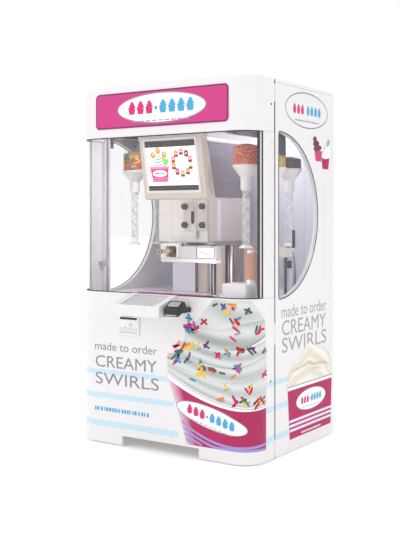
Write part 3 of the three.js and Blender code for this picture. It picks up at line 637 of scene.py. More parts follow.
def door_shells():
    vend_hole = (FLAP[0].x - 0.002, FLAP[1].x + 0.002, 0.766, 0.838)
    note_hole = (NOTE_BOX[0].x + 0.008, NOTE_BOX[1].x - 0.008, NOTE_BOX[0].z + 0.008, NOTE_BOX[1].z - 0.008)
    notch = (-NOTCH, NOTCH, -1, PALLET_TOP)
    lower = wrap(-END_S, END_S, LOWER[0].z, SILL, 0, WALL, (vend_hole, note_hole, notch), bevel=0.003)
    place("door_front_panel", lower, PAINT, "door", ["door_lower_panel"])

    place("door_head_band", wrap(-END_S, END_S, HEAD, TOP - 0.004, 0, WALL, bevel=0.003), PAINT, "door",
          ["door_header"])
    plan = [tuple(on_door(s, 0, -0.0015)[:2]) for s in door_stations(-END_S, END_S)]
    place("door_top_lid", prism(plan, "z", TOP - 0.016, TOP, 0.006, 4), PAINT, "door")
    ledge = wrap(-END_S, END_S, HEAD, HEAD + 0.012, -WALL, 0.014, bevel=0.001)
    place("door_head_flange", ledge, PAINT, "door")

    for name, sign, node in (("left", -1, "door_post_left"), ("right", 1, "door_post_right")):
        s0, s1 = sorted((sign * POST_START, sign * END_S))
        holes = ()
        if sign < 0:
            lock_s = -(RETURN_S + 0.187 - CORNER_R)
            holes = ((lock_s - 0.011, lock_s + 0.011, 0.989, 1.011),)
        post = wrap(s0, s1, SILL + 0.0004, HEAD - 0.0004, 0, WALL, holes, bevel=0.002)
        place(f"door_post_{name}_shell", post, PAINT, "door", [node])
        edge = sign * (POST_START - 0.001)
        e0, e1 = sorted((edge, edge - sign * 0.004))
        seal = wrap(e0, e1, SILL + 0.001, HEAD - 0.001, -0.0008, 0.010, bevel=0.001)
        place(f"window_end_seal_{name}", seal, RUBBER, "door")
        t0, t1 = sorted((sign * (POST_START - 0.006), sign * (POST_START - 0.016)))
        trim = wrap(t0, t1, SILL + 0.001, HEAD - 0.001, -0.0065, 0.004, bevel=0.001)
        place(f"window_end_trim_{name}", trim, WHITE, "door")
        # The return flanges take the inside paint: painted shade and painted lilac lamp light.
        f0, f1 = sorted((sign * (END_S - 0.016), sign * (END_S - 0.002)))
        spans = ((0.03, TOP - 0.03),) if sign > 0 else ((0.03, 0.985), (1.015, TOP - 0.03))
        flange = bmesh.new()
        for z0, z1 in spans:
            merge(flange, wrap(f0, f1, z0, z1, -WALL - 0.0003, 0.022, bevel=0.002))
        place(f"door_return_flange_{name}", flange, PAINT_IN_SHADED, "door")

    jamb = wrap(POST_START - 0.036, POST_START - 0.018, SILL + 0.001, HEAD - 0.001, -0.0065, 0.003,
                bevel=0.001)
    place("window_jamb_right", jamb, BLACK, "door")

    span = POST_START - 0.0006
    glazing = wrap(-span, span, SILL + 0.0004, HEAD - 0.0004, -0.003, 0.006, bevel=0.0008)
    place("door_glazing", glazing, GLASS, "door", ["door_window"])
    for name, z0, z1 in (("sill", SILL + 0.0006, SILL + 0.0046), ("head", HEAD - 0.0046, HEAD - 0.0006)):
        seal = wrap(-span + 0.012, span - 0.012, z0, z1, -0.0006, 0.0116, bevel=0.0006)
        place(f"window_seal_{name}", seal, RUBBER, "door")
    # Pink strip inside the window sill: a painted pink glint along the sill.
    glint = wrap(-0.155, 0.335, SILL + 0.005, SILL + 0.011, -0.0095, 0.004, bevel=0.0005)
    place("sill_painted_glint", glint, PINK, "door")
    # The stiffeners take the inside paint: painted shade and painted lilac lamp light.
    for z0, z1, tag in ((0.100, 0.118, "low"), (0.835, 0.849, "high")):
        rib = wrap(-END_S + 0.03, END_S - 0.03, z0, z1, -WALL - 0.0004, 0.012, bevel=0.002)
        place(f"door_stiffener_{tag}", rib, PAINT_IN_SHADED, "door")

    for k, (d, z) in enumerate(((0.187, 1.861), (0.178, 0.418)), 1):
        for sign, tag in ((1, "right"), (-1, "left")):
            plug = pin((sign * (HALF - 0.001), depth(d), z), "x", 0.0055, -0.001 if sign > 0 else -0.003,
                       0.003 if sign > 0 else 0.001, 0.0008, 20)
            place(f"door_plug_{tag}_{k}", plug, BLACK, "door")


# ------------------------------------------------------------------ hinges

def hinges():
    for node in ("door_hinge_top", "door_hinge_middle", "door_hinge_bottom"):
        lo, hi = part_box(node)
        axis_y = lo.y + 0.0046
        axis_x = hi.x - 0.0046
        count = 7
        pitch = (hi.z - lo.z) / count
        fixed = block((lo.x, axis_y + 0.0012, lo.z), (axis_x, hi.y, hi.z), 0.0006, 2)
        moving = block((axis_x - 0.028, axis_y - 0.0048, lo.z), (axis_x, axis_y - 0.0012, hi.z), 0.0006, 2)
        for k in range(count):
            z0 = lo.z + k * pitch + 0.0004
            knuckle = pin((axis_x, axis_y, 0), "z", 0.0046, z0, z0 + pitch - 0.0008, 0.0008, 24)
            if k % 2 == 0:
                merge(fixed, knuckle)
            else:
                merge(moving, knuckle)
        merge(fixed, pin((axis_x, axis_y, 0), "z", 0.0024, lo.z - 0.002, hi.z + 0.002, 0.0008, 16))
        place(f"{node}_leaf", fixed, STEEL, "cabinet", [node])
        place(f"{node}_door_leaf", moving, STEEL, "door")


# ------------------------------------------------------------------ prints on the door

def swirl_cup(cx, cz, w, cup_mat, swirl_mat, layer=1, lean=0.0):
    """Generic pictogram of a cup with a three-turn swirl, w wide."""
    h = w * 0.52
    cup = [(cx - w * 0.42, cz), (cx + w * 0.42, cz), (cx + w * 0.30, cz - h), (cx - w * 0.30, cz - h)]
    shapes = [([list(reversed(cup))], layer, cup_mat)]
    for k, (half, up) in enumerate(((0.44, 0.12), (0.33, 0.34), (0.19, 0.54))):
        turn = ellipse(cx + lean * up, cz + w * up, w * half, w * 0.15, 0.12, 24)
        shapes.append(([turn], layer + 1 + k, swirl_mat))
    return shapes


def capsule(cx, cz, length, width, tilt, steps=5):
    points = []
    for end in (1, -1):
        for i in range(steps + 1):
            a = math.pi * i / steps - math.pi / 2 + (0 if end > 0 else math.pi)
            points.append((end * (length - width) / 2 + width / 2 * math.cos(a), width / 2 * math.sin(a)))
    c, s = math.cos(tilt), math.sin(tilt)
    return [(cx + x * c - y * s, cz + x * s + y * c) for x, y in points]


def word_marks(low, high, base, top, mat, layer=1, seed=1):
    """Row of short upright strokes: a line of small print too fine to read."""
    rng = random.Random(seed)
    shapes = []
    a = low
    size = top - base
    while a < high - size * 0.5:
        w = size * rng.uniform(0.35, 0.75)
        shapes.append(([rounded((a, base), (min(a + w, high), top), size * 0.16, 3)], layer, mat))
        a += w + size * (0.22 if rng.random() < 0.8 else 0.5)
    return shapes


def badge(cx, cz, a, b, tilt, unit, layer=0, outline=OUTLINE):
    """White oval with a grey rim and a row of generic pictograms."""
    shapes = [([ellipse(cx, cz, a, b, tilt)], layer, outline),
              ([ellipse(cx, cz, a - unit * 0.09, b - unit * 0.09, tilt)], layer + 1, INK_WHITE)]
    c, s = math.cos(tilt), math.sin(tilt)
    row = [(-2.62, INK_PINK), (-1.82, INK_PINK), (-1.02, INK_PINK), (0.22, INK_BLUE), (1.02, INK_BLUE),
           (1.82, INK_BLUE), (2.62, INK_BLUE)]
    for offset, mat in row:
        x, z = cx + offset * unit * c, cz + offset * unit * s + unit * 0.02
        shapes += swirl_cup(x, z, unit * 0.78, mat, mat, layer + 2)
    dot = ellipse(cx - 0.42 * unit * c, cz - 0.42 * unit * s, unit * 0.13, unit * 0.13, 0, 20)
    shapes.append(([dot], layer + 2, INK_GREY))
    run = 2.3 * unit
    low = cz - unit * 0.92
    shapes += [([capsule(cx + k * run * 0.25 * c, low + k * run * 0.25 * s, unit * 0.44, unit * 0.09, tilt)],
                layer + 2, INK_MID) for k in range(-4, 5)]
    return shapes


RIM_LOW_S = 0.52


def rim_low(s):
    return 0.281 + 0.603 * (RIM_LOW_S - s) ** 2


def rim_high(s):
    return rim_low(s) + 0.036 - (s - 0.06) * 0.032


CUP_LEFT = 0.061
CUP_RIGHT = 0.661
CUP_BASE = 0.073
CUP_TOP = 0.408


def cup_side(z):
    """Left side of the printed cup at height z."""
    t = (CUP_TOP - z) / (CUP_TOP - CUP_BASE)
    return CUP_LEFT + 0.118 * t + 0.010 * math.sin(math.pi * t)


def mix3(a, b, t):
    t = max(0.0, min(1.0, t))
    return tuple(p + (q - p) * t for p, q in zip(a, b))


def shaded_grid(name, columns, rows, at, color, layer, body, place_at):
    """Printed area as a grid: at(u, v) gives the surface place, color(u, v, s, z) the ink."""
    bm = bmesh.new()
    ink = bm.verts.layers.float_color.new("ink")
    grid = []
    for i in range(columns + 1):
        line = []
        for k in range(rows + 1):
            u, v = i / columns, k / rows
            s, z = at(u, v)
            vert = bm.verts.new(place_at(s, z, FILM * (layer + 1)))
            vert[ink] = (*color(u, v, s, z), 1)
            line.append(vert)
        grid.append(line)
    for i in range(columns):
        for k in range(rows):
            face = [grid[i][k], grid[i + 1][k], grid[i + 1][k + 1], grid[i][k + 1]]
            bm.faces.new(face)
    bmesh.ops.remove_doubles(bm, verts=bm.verts, dist=1e-6)
    obj = place(name, bm, PRINT, body)
    skin = obj.modifiers.new("film", "SOLIDIFY")
    skin.thickness = FILM * 0.7
    skin.offset = -1
    return obj


MAGENTA = (0.43, 0.004, 0.095)
PALE_PINK = (0.74, 0.52, 0.66)


def cup_print():
    def at(u, v):
        left = cup_side(CUP_BASE + (CUP_TOP - CUP_BASE) * v)
        s = left + (CUP_RIGHT - left) * u
        return s, CUP_BASE + (rim_low(s) - CUP_BASE) * v

    def color(u, v, s, z):
        shade = mix3(PALE_PINK, MAGENTA, (u - 0.005) / 0.13)
        deep = tuple(c * 0.78 for c in MAGENTA)
        return mix3(shade, deep, max(0.0, (u - 0.35)) * 0.9)
    shaded_grid("print_cup", 110, 60, at, color, 1, "door", on_door)

    shapes = []
    for k in range(4):
        def line(s, k=k):
            fall = 0.946 if s < 0.47 else 0.40
            return 0.098 - 0.024 * k + fall * (0.47 - s) ** 2
        stations = [0.11 + 0.551 * i / 60 for i in range(61)]
        width = 0.0125
        upper = [(s, line(s)) for s in stations
                 if line(s) - width > CUP_BASE and s > cup_side(line(s)) + 0.002]
        if k == 3:
            upper = [p for p in upper if p[0] < 0.30]
        lower = [(s, z - width) for s, z in reversed(upper)]
        if len(upper) > 3:
            shapes.append(([upper[::-1] + lower[::-1]], 2 + k % 2, INK_LILAC))
    shapes += badge(0.329, 0.2275, 0.221, 0.058, math.radians(-13.2), 0.051, 3, OUTLINE)
    prints("print_cup_marks", shapes, on_door, "door", DOOR_CUTS)


CREAM_LIGHT = (0.67, 0.69, 0.685)
CREAM_MID = (0.27, 0.30, 0.29)
CREAM_DARK = (0.15, 0.175, 0.165)


def curve_at(points, t):
    """Smooth curve through evenly spaced guide points."""
    n = len(points) - 1
    i = min(int(t * n), n - 1)
    f = t * n - i
    near = (points[max(i - 1, 0)], points[i], points[i + 1], points[min(i + 2, n)])
    out = []
    for a, b, d, e in zip(*near):
        square = (2 * a - 5 * b + 4 * d - e) * f * f
        cube = (3 * b - a - 3 * d + e) * f ** 3
        out.append(0.5 * (2 * b + (d - a) * f + square + cube))
    return tuple(out)


def curve_points(guides, steps=40):
    return [curve_at(guides, i / steps) for i in range(steps + 1)]


# Folds of the printed swirl, from the peak down: upper line, lower line, folds along, how deep the shade is.
FOLDS = (
    (((0.345, 0.845), (0.400, 0.845), (0.455, 0.845), (0.510, 0.845), (0.562, 0.845)),
     ((0.170, 0.640), (0.290, 0.640), (0.400, 0.660), (0.520, 0.700), (0.645, 0.740)), 1.3, 0.60),
    (((0.180, 0.705), (0.260, 0.690), (0.400, 0.690), (0.530, 0.730), (0.648, 0.745)),
     ((0.160, 0.605), (0.260, 0.585), (0.390, 0.580), (0.530, 0.605), (0.655, 0.660)), 1.1, 1.0),
    (((0.150, 0.615), (0.250, 0.596), (0.390, 0.588), (0.530, 0.600), (0.655, 0.640)),
     ((0.062, 0.520), (0.200, 0.512), (0.350, 0.490), (0.510, 0.500), (0.658, 0.555)), 1.6, 0.85),
    (((0.056, 0.545), (0.190, 0.535), (0.340, 0.500), (0.500, 0.500), (0.658, 0.570)),
     ((0.055, 0.470), (0.190, 0.440), (0.340, 0.410), (0.500, 0.420), (0.660, 0.470)), 1.2, 0.8),
    (((0.054, 0.485), (0.190, 0.455), (0.340, 0.425), (0.500, 0.430), (0.660, 0.480)),
     ((0.060, 0.425), (0.190, 0.360), (0.340, 0.318), (0.500, 0.292), (0.660, 0.296)), 2.0, 0.65),
)


def swirl_print():
    for n, (upper, lower, ripples, depth_of_shade) in enumerate(FOLDS):
        def at(u, v, upper=upper, lower=lower):
            a, b = curve_at(upper, u), curve_at(lower, u)
            return tuple(q + (p - q) * v for p, q in zip(a, b))

        def color(u, v, s, z, ripples=ripples, deep=depth_of_shade, n=n):
            fold = 0.5 + 0.5 * math.sin(2 * math.pi * (ripples * v + 0.9 * u + 0.37 * n))
            crease = max(0.0, 1 - v / 0.16) ** 1.5
            tone = 0.85 * fold * deep * (0.45 + 0.55 * math.sin(math.pi * min(1, max(0, u * 0.9 + 0.1))))
            base = mix3(CREAM_LIGHT, CREAM_MID, tone)
            return mix3(base, CREAM_DARK, crease * 0.75 * deep)
        shaded_grid(f"print_swirl_{n + 1}", 70, 26, at, color, 0.2 + 0.8 * n, "door", on_door)
    rim = [0.058 + (CUP_RIGHT - 0.058) * i / 50 for i in range(51)]
    band = [(s, rim_low(s) - 0.001) for s in rim] + [(s, rim_high(s)) for s in reversed(rim)]
    lip = [(s, rim_high(s) - 0.010) for s in rim] + [(s, rim_high(s) - 0.006) for s in reversed(rim)]
    prints("print_cup_rim", [([band], 5, INK_WHITE), ([lip], 6, INK_MID)], on_door, "door", DOOR_CUTS)


SPRINKLE_COLORS = {
    "red": (0.50, 0.003, 0.012), "pink": (0.62, 0.01, 0.20), "orange": (0.85, 0.20, 0.02),
    "yellow": (0.86, 0.55, 0.01), "green": (0.008, 0.14, 0.05), "teal": (0.01, 0.26, 0.45),
    "purple": (0.11, 0.03, 0.30), "plum": (0.14, 0.004, 0.03),
}
# Clusters of printed sprinkles: place along and up the door, spread, colours.
SPRINKLES = (
    (0.205, 0.690, 0.032, "pink purple teal pink red purple teal pink green purple pink teal red orange"),
    (0.281, 0.722, 0.012, "red red"), (0.192, 0.742, 0.010, "teal teal"), (0.356, 0.815, 0.004, "green"),
    (0.404, 0.812, 0.006, "purple purple"), (0.425, 0.775, 0.010, "yellow yellow"),
    (0.462, 0.818, 0.012, "red yellow orange"), (0.474, 0.748, 0.020, "purple red orange red teal"),
    (0.482, 0.688, 0.012, "pink pink"), (0.470, 0.652, 0.006, "pink"),
    (0.545, 0.795, 0.012, "green purple green"),
    (0.606, 0.698, 0.020, "red pink red green"),
    (0.135, 0.575, 0.030, "red green orange pink purple red green pink yellow"),
    (0.202, 0.592, 0.018, "yellow yellow yellow orange"), (0.246, 0.594, 0.008, "yellow"),
    (0.299, 0.604, 0.010, "purple plum"), (0.378, 0.564, 0.010, "pink pink red"),
    (0.430, 0.572, 0.012, "teal teal orange"), (0.505, 0.595, 0.016, "red plum red"),
    (0.560, 0.592, 0.018, "green purple plum"), (0.645, 0.590, 0.006, "green"),
    (0.110, 0.518, 0.022, "teal purple green teal pink"), (0.190, 0.520, 0.018, "purple green"),
    (0.068, 0.520, 0.005, "orange"), (0.281, 0.500, 0.018, "teal purple teal yellow"),
    (0.272, 0.458, 0.020, "yellow orange yellow yellow green yellow"), (0.343, 0.480, 0.014, "red green red"),
    (0.395, 0.470, 0.006, "green"), (0.490, 0.500, 0.014, "pink purple pink teal"),
    (0.469, 0.455, 0.003, "orange"),
    (0.422, 0.399, 0.002, "yellow"), (0.222, 0.418, 0.008, "teal"), (0.391, 0.336, 0.005, "orange orange"),
    (0.473, 0.325, 0.016, "red red plum pink"), (0.532, 0.336, 0.016, "teal red yellow green"),
    (0.554, 0.390, 0.020, "red pink yellow red"), (0.632, 0.336, 0.018, "orange red yellow red plum"),
    (0.648, 0.470, 0.008, "pink red"), (0.590, 0.318, 0.014, "plum red"),
)


def sprinkle_print():
    rng = random.Random(11)
    inks = {name: surface(f"ink_sprinkle_{name}", color, 0.4, vary=0.08, cloud=60.0)
            for name, color in SPRINKLE_COLORS.items()}
    shapes = []
    for s, z, spread, colors in SPRINKLES:
        for k, color in enumerate(colors.split()):
            a, r = rng.uniform(0, 2 * math.pi), spread * math.sqrt(rng.random())
            cs, cz = s + r * math.cos(a), z + r * math.sin(a)
            length = rng.uniform(0.036, 0.052)
            tilt = rng.uniform(-1.3, 1.3)
            grain = capsule(min(cs, 0.645), min(cz, 0.825), length, 0.0112, tilt)
            shapes.append(([grain], 7 + k % 4, inks[color]))
    prints("print_sprinkles", shapes, on_door, "door", DOOR_CUTS)
    specks = [([capsule(s + 0.008, z - 0.012, 0.036, 0.010, 0.3)], 6, INK_SHADE)
              for s, z, *_ in SPRINKLES[::2]]
    prints("print_sprinkle_shades", specks, on_door, "door", DOOR_CUTS)


BAND_LEVELS = ((0.391, 0.417), (0.258, 0.287), (0.100, 0.132))


def door_prints():
    bands = []
    for k, (z0, z1) in enumerate(BAND_LEVELS):
        for low, high in ((-END_S + 0.004, 0.062 + 0.030 * k), (CUP_RIGHT + 0.002, END_S - 0.004)):
            n = 40
            stops = [low + (high - low) * i / n for i in range(n + 1)]
            bands.append(([[(s, z0) for s in stops] + [(s, z1) for s in reversed(stops)]], 0, INK_PALE))
    prints("print_bands", bands, on_door, "door", DOOR_CUTS)
    swirl_print()
    cup_print()
    sprinkle_print()
    lettering("print_words_front", (
        ("made to order", -0.450, -0.016, 0.526, 0.571),
        ("CREAMY", -0.446, -0.016, 0.430, 0.495),
        ("SWIRLS", -0.446, -0.003, 0.334, 0.400),
    ), on_door, "door", INK_GREY)
    prints("print_small_line", word_marks(-0.451, -0.050, 0.184, 0.206, INK_BLUE, 1, 5), on_door, "door",
           DOOR_CUTS)


# ------------------------------------------------------------------ sign

def sign():
    lo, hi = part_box("sign_panel")

    def on_sign(x, z, out=0.0):
        return Vector((x, lo.y - out, z))
    r = 0.025
    face = prism(rounded((lo.x, lo.z), (hi.x, hi.z), r), "y", lo.y, hi.y, 0.0015, 3)
    place("sign_face", face, PINK, "door", ["sign_panel"])
    edge = [rounded((lo.x + 0.001, lo.z + 0.001), (hi.x - 0.001, hi.z - 0.001), r - 0.001),
            rounded((lo.x + 0.008, lo.z + 0.008), (hi.x - 0.008, hi.z - 0.008), r - 0.008)]
    shapes = [(edge, 0, INK_LINE)]
    shapes += badge(0.011, 1.863, 0.296, 0.084, 0, 0.074, 0, OUTLINE)
    prints("sign_marks", shapes, on_sign, "door")


# ------------------------------------------------------------------ cabinet

WINDOW_MID = 1.282
WINDOW_HALF = 0.446
WINDOW_FRONT = 0.264
WINDOW_CENTRE = 0.270
WINDOW_REACH = 0.459


def d_window(inset, steps=64, corner=0.016):
    """Half-round window outline in (y, z), set in by inset."""
    front = depth(WINDOW_FRONT + inset)
    low, high = WINDOW_MID - WINDOW_HALF + corner, WINDOW_MID + WINDOW_HALF - corner
    points = [(front, low)]
    for i in range(steps + 1):
        a = -math.pi / 2 + math.pi * i / steps
        points.append((depth(WINDOW_CENTRE) + (WINDOW_REACH - inset) * math.cos(a),
                       WINDOW_MID + (WINDOW_HALF - inset) * math.sin(a)))
    return points + [(front, high)]


def ringed(outer, inner, axis, low, high, bevel=0.0, segments=2):
    """Plate between two outlines with the same number of points."""
    n = len(outer)

    def at(a, b, c):
        return {"x": (c, a, b), "y": (a, c, b), "z": (a, b, c)}[axis]
    verts = [at(a, b, c) for line in (outer, inner) for c in (low, high) for a, b in line]
    faces = []
    for i in range(n):
        j = (i + 1) % n
        o0, o1, i0, i1 = 0, n, 2 * n, 3 * n
        faces += [[o0 + i, o0 + j, o1 + j, o1 + i], [i0 + j, i0 + i, i1 + i, i1 + j],
                  [o0 + j, o0 + i, i0 + i, i0 + j], [o1 + i, o1 + j, i1 + j, i1 + i]]
    return solid(verts, faces, bevel, segments, 40)


def box_outline_like(points, lo, hi):
    """Points of `points` pushed straight out from their middle to the box edge."""
    cy = sum(p[0] for p in points) / len(points)
    cz = sum(p[1] for p in points) / len(points)
    out = []
    for y, z in points:
        dy, dz = y - cy, z - cz
        reach = []
        if dy:
            reach.append(((hi[0] if dy > 0 else lo[0]) - cy) / dy)
        if dz:
            reach.append(((hi[1] if dz > 0 else lo[1]) - cz) / dz)
        k = min(r for r in reach if r > 0)
        out.append((cy + dy * k, cz + dz * k))
    return out


def circle_like(points, cx, cz, r):
    """Circle with one point in the direction of each of `points`."""
    turns = [math.atan2(b - cz, a - cx) for a, b in points]
    return [(cx + r * math.cos(t), cz + r * math.sin(t)) for t in turns]


def side_wall(sign, tag):
    lo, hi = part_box(f"side_panel_{tag}")
    opening = d_window(0)
    lo2, hi2 = (lo.y, lo.z), (hi.y, hi.z)
    outer = box_outline_like(opening, lo2, hi2)
    # The four corners of the panel take the nearest outline point, so the panel stays a full rectangle.
    for corner in ((lo.y, lo.z), (hi.y, lo.z), (hi.y, hi.z), (lo.y, hi.z)):
        nearest = min(range(len(outer)),
                      key=lambda i: (outer[i][0] - corner[0]) ** 2 + (outer[i][1] - corner[1]) ** 2)
        outer[nearest] = corner
    wall = ringed(outer, opening, "x", lo.x, hi.x, 0.0025, 3)
    place(f"side_wall_{tag}", wall, PAINT, "cabinet", [f"side_panel_{tag}"])
    g0, g1 = box_x(f"side_window_{tag}")
    pane = prism(d_window(0.0006), "x", g0, g1, 0.0008, 2)
    place(f"side_glazing_{tag}", pane, GLASS_SIDE, "cabinet", [f"side_window_{tag}"])
    for part, low, high, mat in (("outer", HALF - 0.0015, HALF + 0.0014, RUBBER),
                                 ("inner", INNER - 0.002, INNER + 0.010, WHITE)):
        x0, x1 = sorted((sign * low, sign * high))
        seal = ringed(d_window(0.0004), d_window(0.0045), "x", x0, x1, 0.0006)
        place(f"side_seal_{part}_{tag}", seal, mat, "cabinet")
    # Return flange of the panel beside the door seam, in the inside paint, whose darker lilac colour is
    # painted shade and painted lamp light.
    x0, x1 = sorted((sign * (INNER - 0.022), sign * (INNER - 0.0003)))
    flange = block((x0, SIDE_START + 0.001, 0.12), (x1, SIDE_START + 0.014, TOP - 0.03), 0.002)
    place(f"side_flange_{tag}", flange, PAINT_IN_SHADED, "cabinet")


def box_x(node):
    lo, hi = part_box(node)
    return lo.x, hi.x


def cabinet():
    for sign, tag in ((1, "right"), (-1, "left")):
        side_wall(sign, tag)
    lo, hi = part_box("roof_panel")
    place("roof_sheet", block(lo, hi, 0.004, 4), PAINT, "cabinet", ["roof_panel"])
    for k in range(3):
        x = -0.3 + 0.3 * k
        rib = block((x - 0.015, lo.y + 0.03, lo.z - 0.022), (x + 0.015, hi.y - 0.05, lo.z - 0.0004), 0.003)
        place(f"roof_rib_{k + 1}", rib, LINER_WHITE, "cabinet")
    lo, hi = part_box("chamber_deck")
    # Chamber floor in the lining colour: painted lilac lamp light.
    place("chamber_floor", block(lo, hi, 0.003), LINER, "cabinet", ["chamber_deck"])
    lo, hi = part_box("base_deck")
    place("base_tray", block(lo, hi, 0.003), ENAMEL, "cabinet", ["base_deck"])
    for tag in ("left", "right"):
        lo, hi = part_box(f"runner_{tag}")
        place(f"base_runner_{tag}", block(lo, hi, 0.005, 3), ENAMEL, "cabinet", [f"runner_{tag}"])
    rear_panel()
    service_door()
    liners()
    seam_gaskets()


def seam_gaskets():
    """Dark strips that close the joint between door and cabinet, broken where a hinge crosses it."""
    breaks = []
    for part in ("bottom", "middle", "top"):
        lo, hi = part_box(f"door_hinge_{part}")
        breaks.append((lo.z - 0.004, hi.z + 0.004))
        hinge_side = 1 if hi.x > 0 else -1
    for sign, tag in ((1, "right"), (-1, "left")):
        gaps = breaks if sign == hinge_side else [(0.985, 1.015)]
        ends = [0.030] + [z for pair in gaps for z in pair] + [TOP - 0.006]
        strips = bmesh.new()
        x0, x1 = sorted((sign * (HALF - 0.024), sign * (HALF - 0.0008)))
        for z0, z1 in zip(ends[::2], ends[1::2]):
            merge(strips, block((x0, DOOR_END + 0.0012, z0), (x1, SIDE_START + 0.0004, z1), 0.0008, 2))
        place(f"seam_gasket_{tag}", strips, RUBBER, "cabinet")


def rear_panel():
    lo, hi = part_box("back_panel")
    x, z = -0.440, 0.872
    bm = holed_panel(lo, hi, [(x - 0.018, x + 0.018, z - 0.014, z + 0.014)])
    bevel_sharp(bm, 0.0012, 2, 40)
    for mid in (-0.28, 0.28):
        merge(bm, block((mid - 0.20, hi.y - 0.001, lo.z + 0.12), (mid + 0.20, hi.y + 0.0025, hi.z - 0.12),
                        0.0024, 3))
    place("rear_sheet", bm, PAINT, "cabinet", ["back_panel"])
    frame_line = rounded((x - 0.027, z - 0.020), (x + 0.027, z + 0.020), 0.005, 5)
    opening = rounded((x - 0.0145, z - 0.0105), (x + 0.0145, z + 0.0105), 0.003, 5)
    collar = rounded((x - 0.0175, z - 0.0135), (x + 0.0175, z + 0.0135), 0.003, 5)
    inlet = ringed(frame_line, opening, "y", hi.y + 0.0001, hi.y + 0.003, 0.0008)
    merge(inlet, ringed(collar, opening, "y", hi.y - 0.012, hi.y - 0.0001, 0.0004))
    merge(inlet, block((x - 0.0175, hi.y - 0.0135, z - 0.0135), (x + 0.0175, hi.y - 0.0122, z + 0.0135),
                       0.0004, 1))
    place("power_inlet", inlet, BLACK, "cabinet")
    blades = bmesh.new()
    for dx, dz in ((-0.007, -0.002), (0.0, 0.003), (0.007, -0.002)):
        merge(blades, block((x + dx - 0.001, hi.y - 0.0124, z + dz - 0.002),
                            (x + dx + 0.001, hi.y - 0.002, z + dz + 0.002), 0.0003, 1))
    place("power_inlet_blades", blades, STEEL, "cabinet")
    screws = bmesh.new()
    for screw_x in (lo.x + 0.022, 0.0, hi.x - 0.022):
        for k in range(6):
            screw_z = lo.z + 0.03 + (hi.z - lo.z - 0.06) * k / 5
            merge(screws, pin((screw_x, hi.y, screw_z), "y", 0.0055, -0.001, 0.0022, 0.0014, 20))
    place("rear_screws", screws, STEEL, "cabinet")
    plate = block((-0.35, hi.y - 0.001, lo.z + 0.016), (-0.24, hi.y + 0.002, lo.z + 0.081), 0.0015)
    place("rating_plate", plate, STEEL, "cabinet")
    marks = []
    for k in range(4):
        marks += word_marks(-0.344, -0.246 - 0.02 * (k % 2), lo.z + 0.026 + 0.013 * k,
                            lo.z + 0.032 + 0.013 * k, INK_GREY, 1, 20 + k)
    prints("rating_marks", marks, lambda a, b, out=0.0: Vector((a, hi.y + 0.002 + out, b)), "cabinet")


def service_door():
    lo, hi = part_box("service_door")
    slots = [(0.190 + 0.032 * i, 0.202 + 0.032 * i) for i in range(9)]
    bm = holed_panel(lo, hi, [(-0.230, 0.230, a, b) for a, b in slots])
    bevel_sharp(bm, 0.0018, 2, 40)
    place("service_door_leaf", bm, PAINT, "service_door", ["service_door"])
    hoods = bmesh.new()
    for a, b in slots:
        line = [(hi.y - 0.001, b + 0.006), (hi.y + 0.007, b - 0.004), (hi.y + 0.007, b - 0.0055),
                (hi.y - 0.001, b + 0.003)]
        merge(hoods, prism(line, "x", -0.226, 0.226, 0.0004, 2))
    place("service_door_louvres", hoods, PAINT, "service_door")
    latch = pin((hi.x - 0.045, hi.y, 0.46), "y", 0.014, -0.001, 0.006, 0.002, 32)
    merge(latch, pin((hi.x - 0.045, hi.y, 0.46), "y", 0.009, 0.006, 0.0078, 0.0006, 24))
    merge(latch, block((hi.x - 0.0465, hi.y + 0.0075, 0.453), (hi.x - 0.0435, hi.y + 0.0088, 0.467), 0.0003,
                       1))
    place("service_latch", latch, STEEL, "service_door")
    knuckles = bmesh.new()
    for z in (0.16, 0.45, 0.74):
        for k in range(5):
            z0 = z - 0.03 + 0.012 * k
            merge(knuckles, pin((lo.x + 0.0004, hi.y + 0.0004, 0), "z", 0.0024, z0, z0 + 0.0114, 0.0006, 16))
    place("service_door_knuckles", knuckles, STEEL, "service_door")


def liners():
    """Thin lining of the display chamber, with the lamps above the window; the lining's lilac colour is
    painted lamp light.
    """
    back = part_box("back_panel")[0].y
    skin = 0.0015
    # Rear lining in the lining colour: painted lilac lamp light.
    rear = block((-INNER + 0.004, back - skin - 0.0004, DECK + 0.002),
                 (INNER - 0.004, back - 0.0004, TOP - 0.024), 0.0006)
    place("liner_rear", rear, LINER, "cabinet")
    for x in (-0.40, -0.25, 0.25, 0.40):
        seam = block((x - 0.0012, back - skin - 0.0016, DECK + 0.01),
                     (x + 0.0012, back - skin - 0.0003, TOP - 0.04), 0.0004, 1)
        place(f"liner_seam_{'m' if x < 0 else 'p'}{abs(round(x * 100))}", seam, GREY, "cabinet")
    for x in (-0.36, 0.36):
        lamp = block((x - 0.13, SIDE_START + 0.06, TOP - 0.045), (x + 0.13, SIDE_START + 0.12, TOP - 0.041),
                     0.001)
        place(f"chamber_lamp_{'left' if x < 0 else 'right'}", lamp, LIGHT, "cabinet")
        shell = block((x - 0.14, SIDE_START + 0.05, TOP - 0.0405), (x + 0.14, SIDE_START + 0.13, TOP - 0.019),
                      0.003)
        place(f"chamber_lamp_body_{'left' if x < 0 else 'right'}", shell, WHITE, "cabinet")


# ------------------------------------------------------------------ prints on the sides

SIDE_SWIRL = ((0.372, 0.350), (0.368, 0.405), (0.410, 0.470), (0.500, 0.500), (0.560, 0.535), (0.620, 0.572),
              (0.690, 0.545), (0.770, 0.528), (0.850, 0.500), (0.895, 0.450), (0.905, 0.395), (0.900, 0.340))
CARAMEL = (0.50, 0.30, 0.13)
CREAM_WARM = (0.86, 0.83, 0.76)
CREAM_FOLD = (0.66, 0.61, 0.50)
CREAM_BROWN = (0.36, 0.20, 0.09)


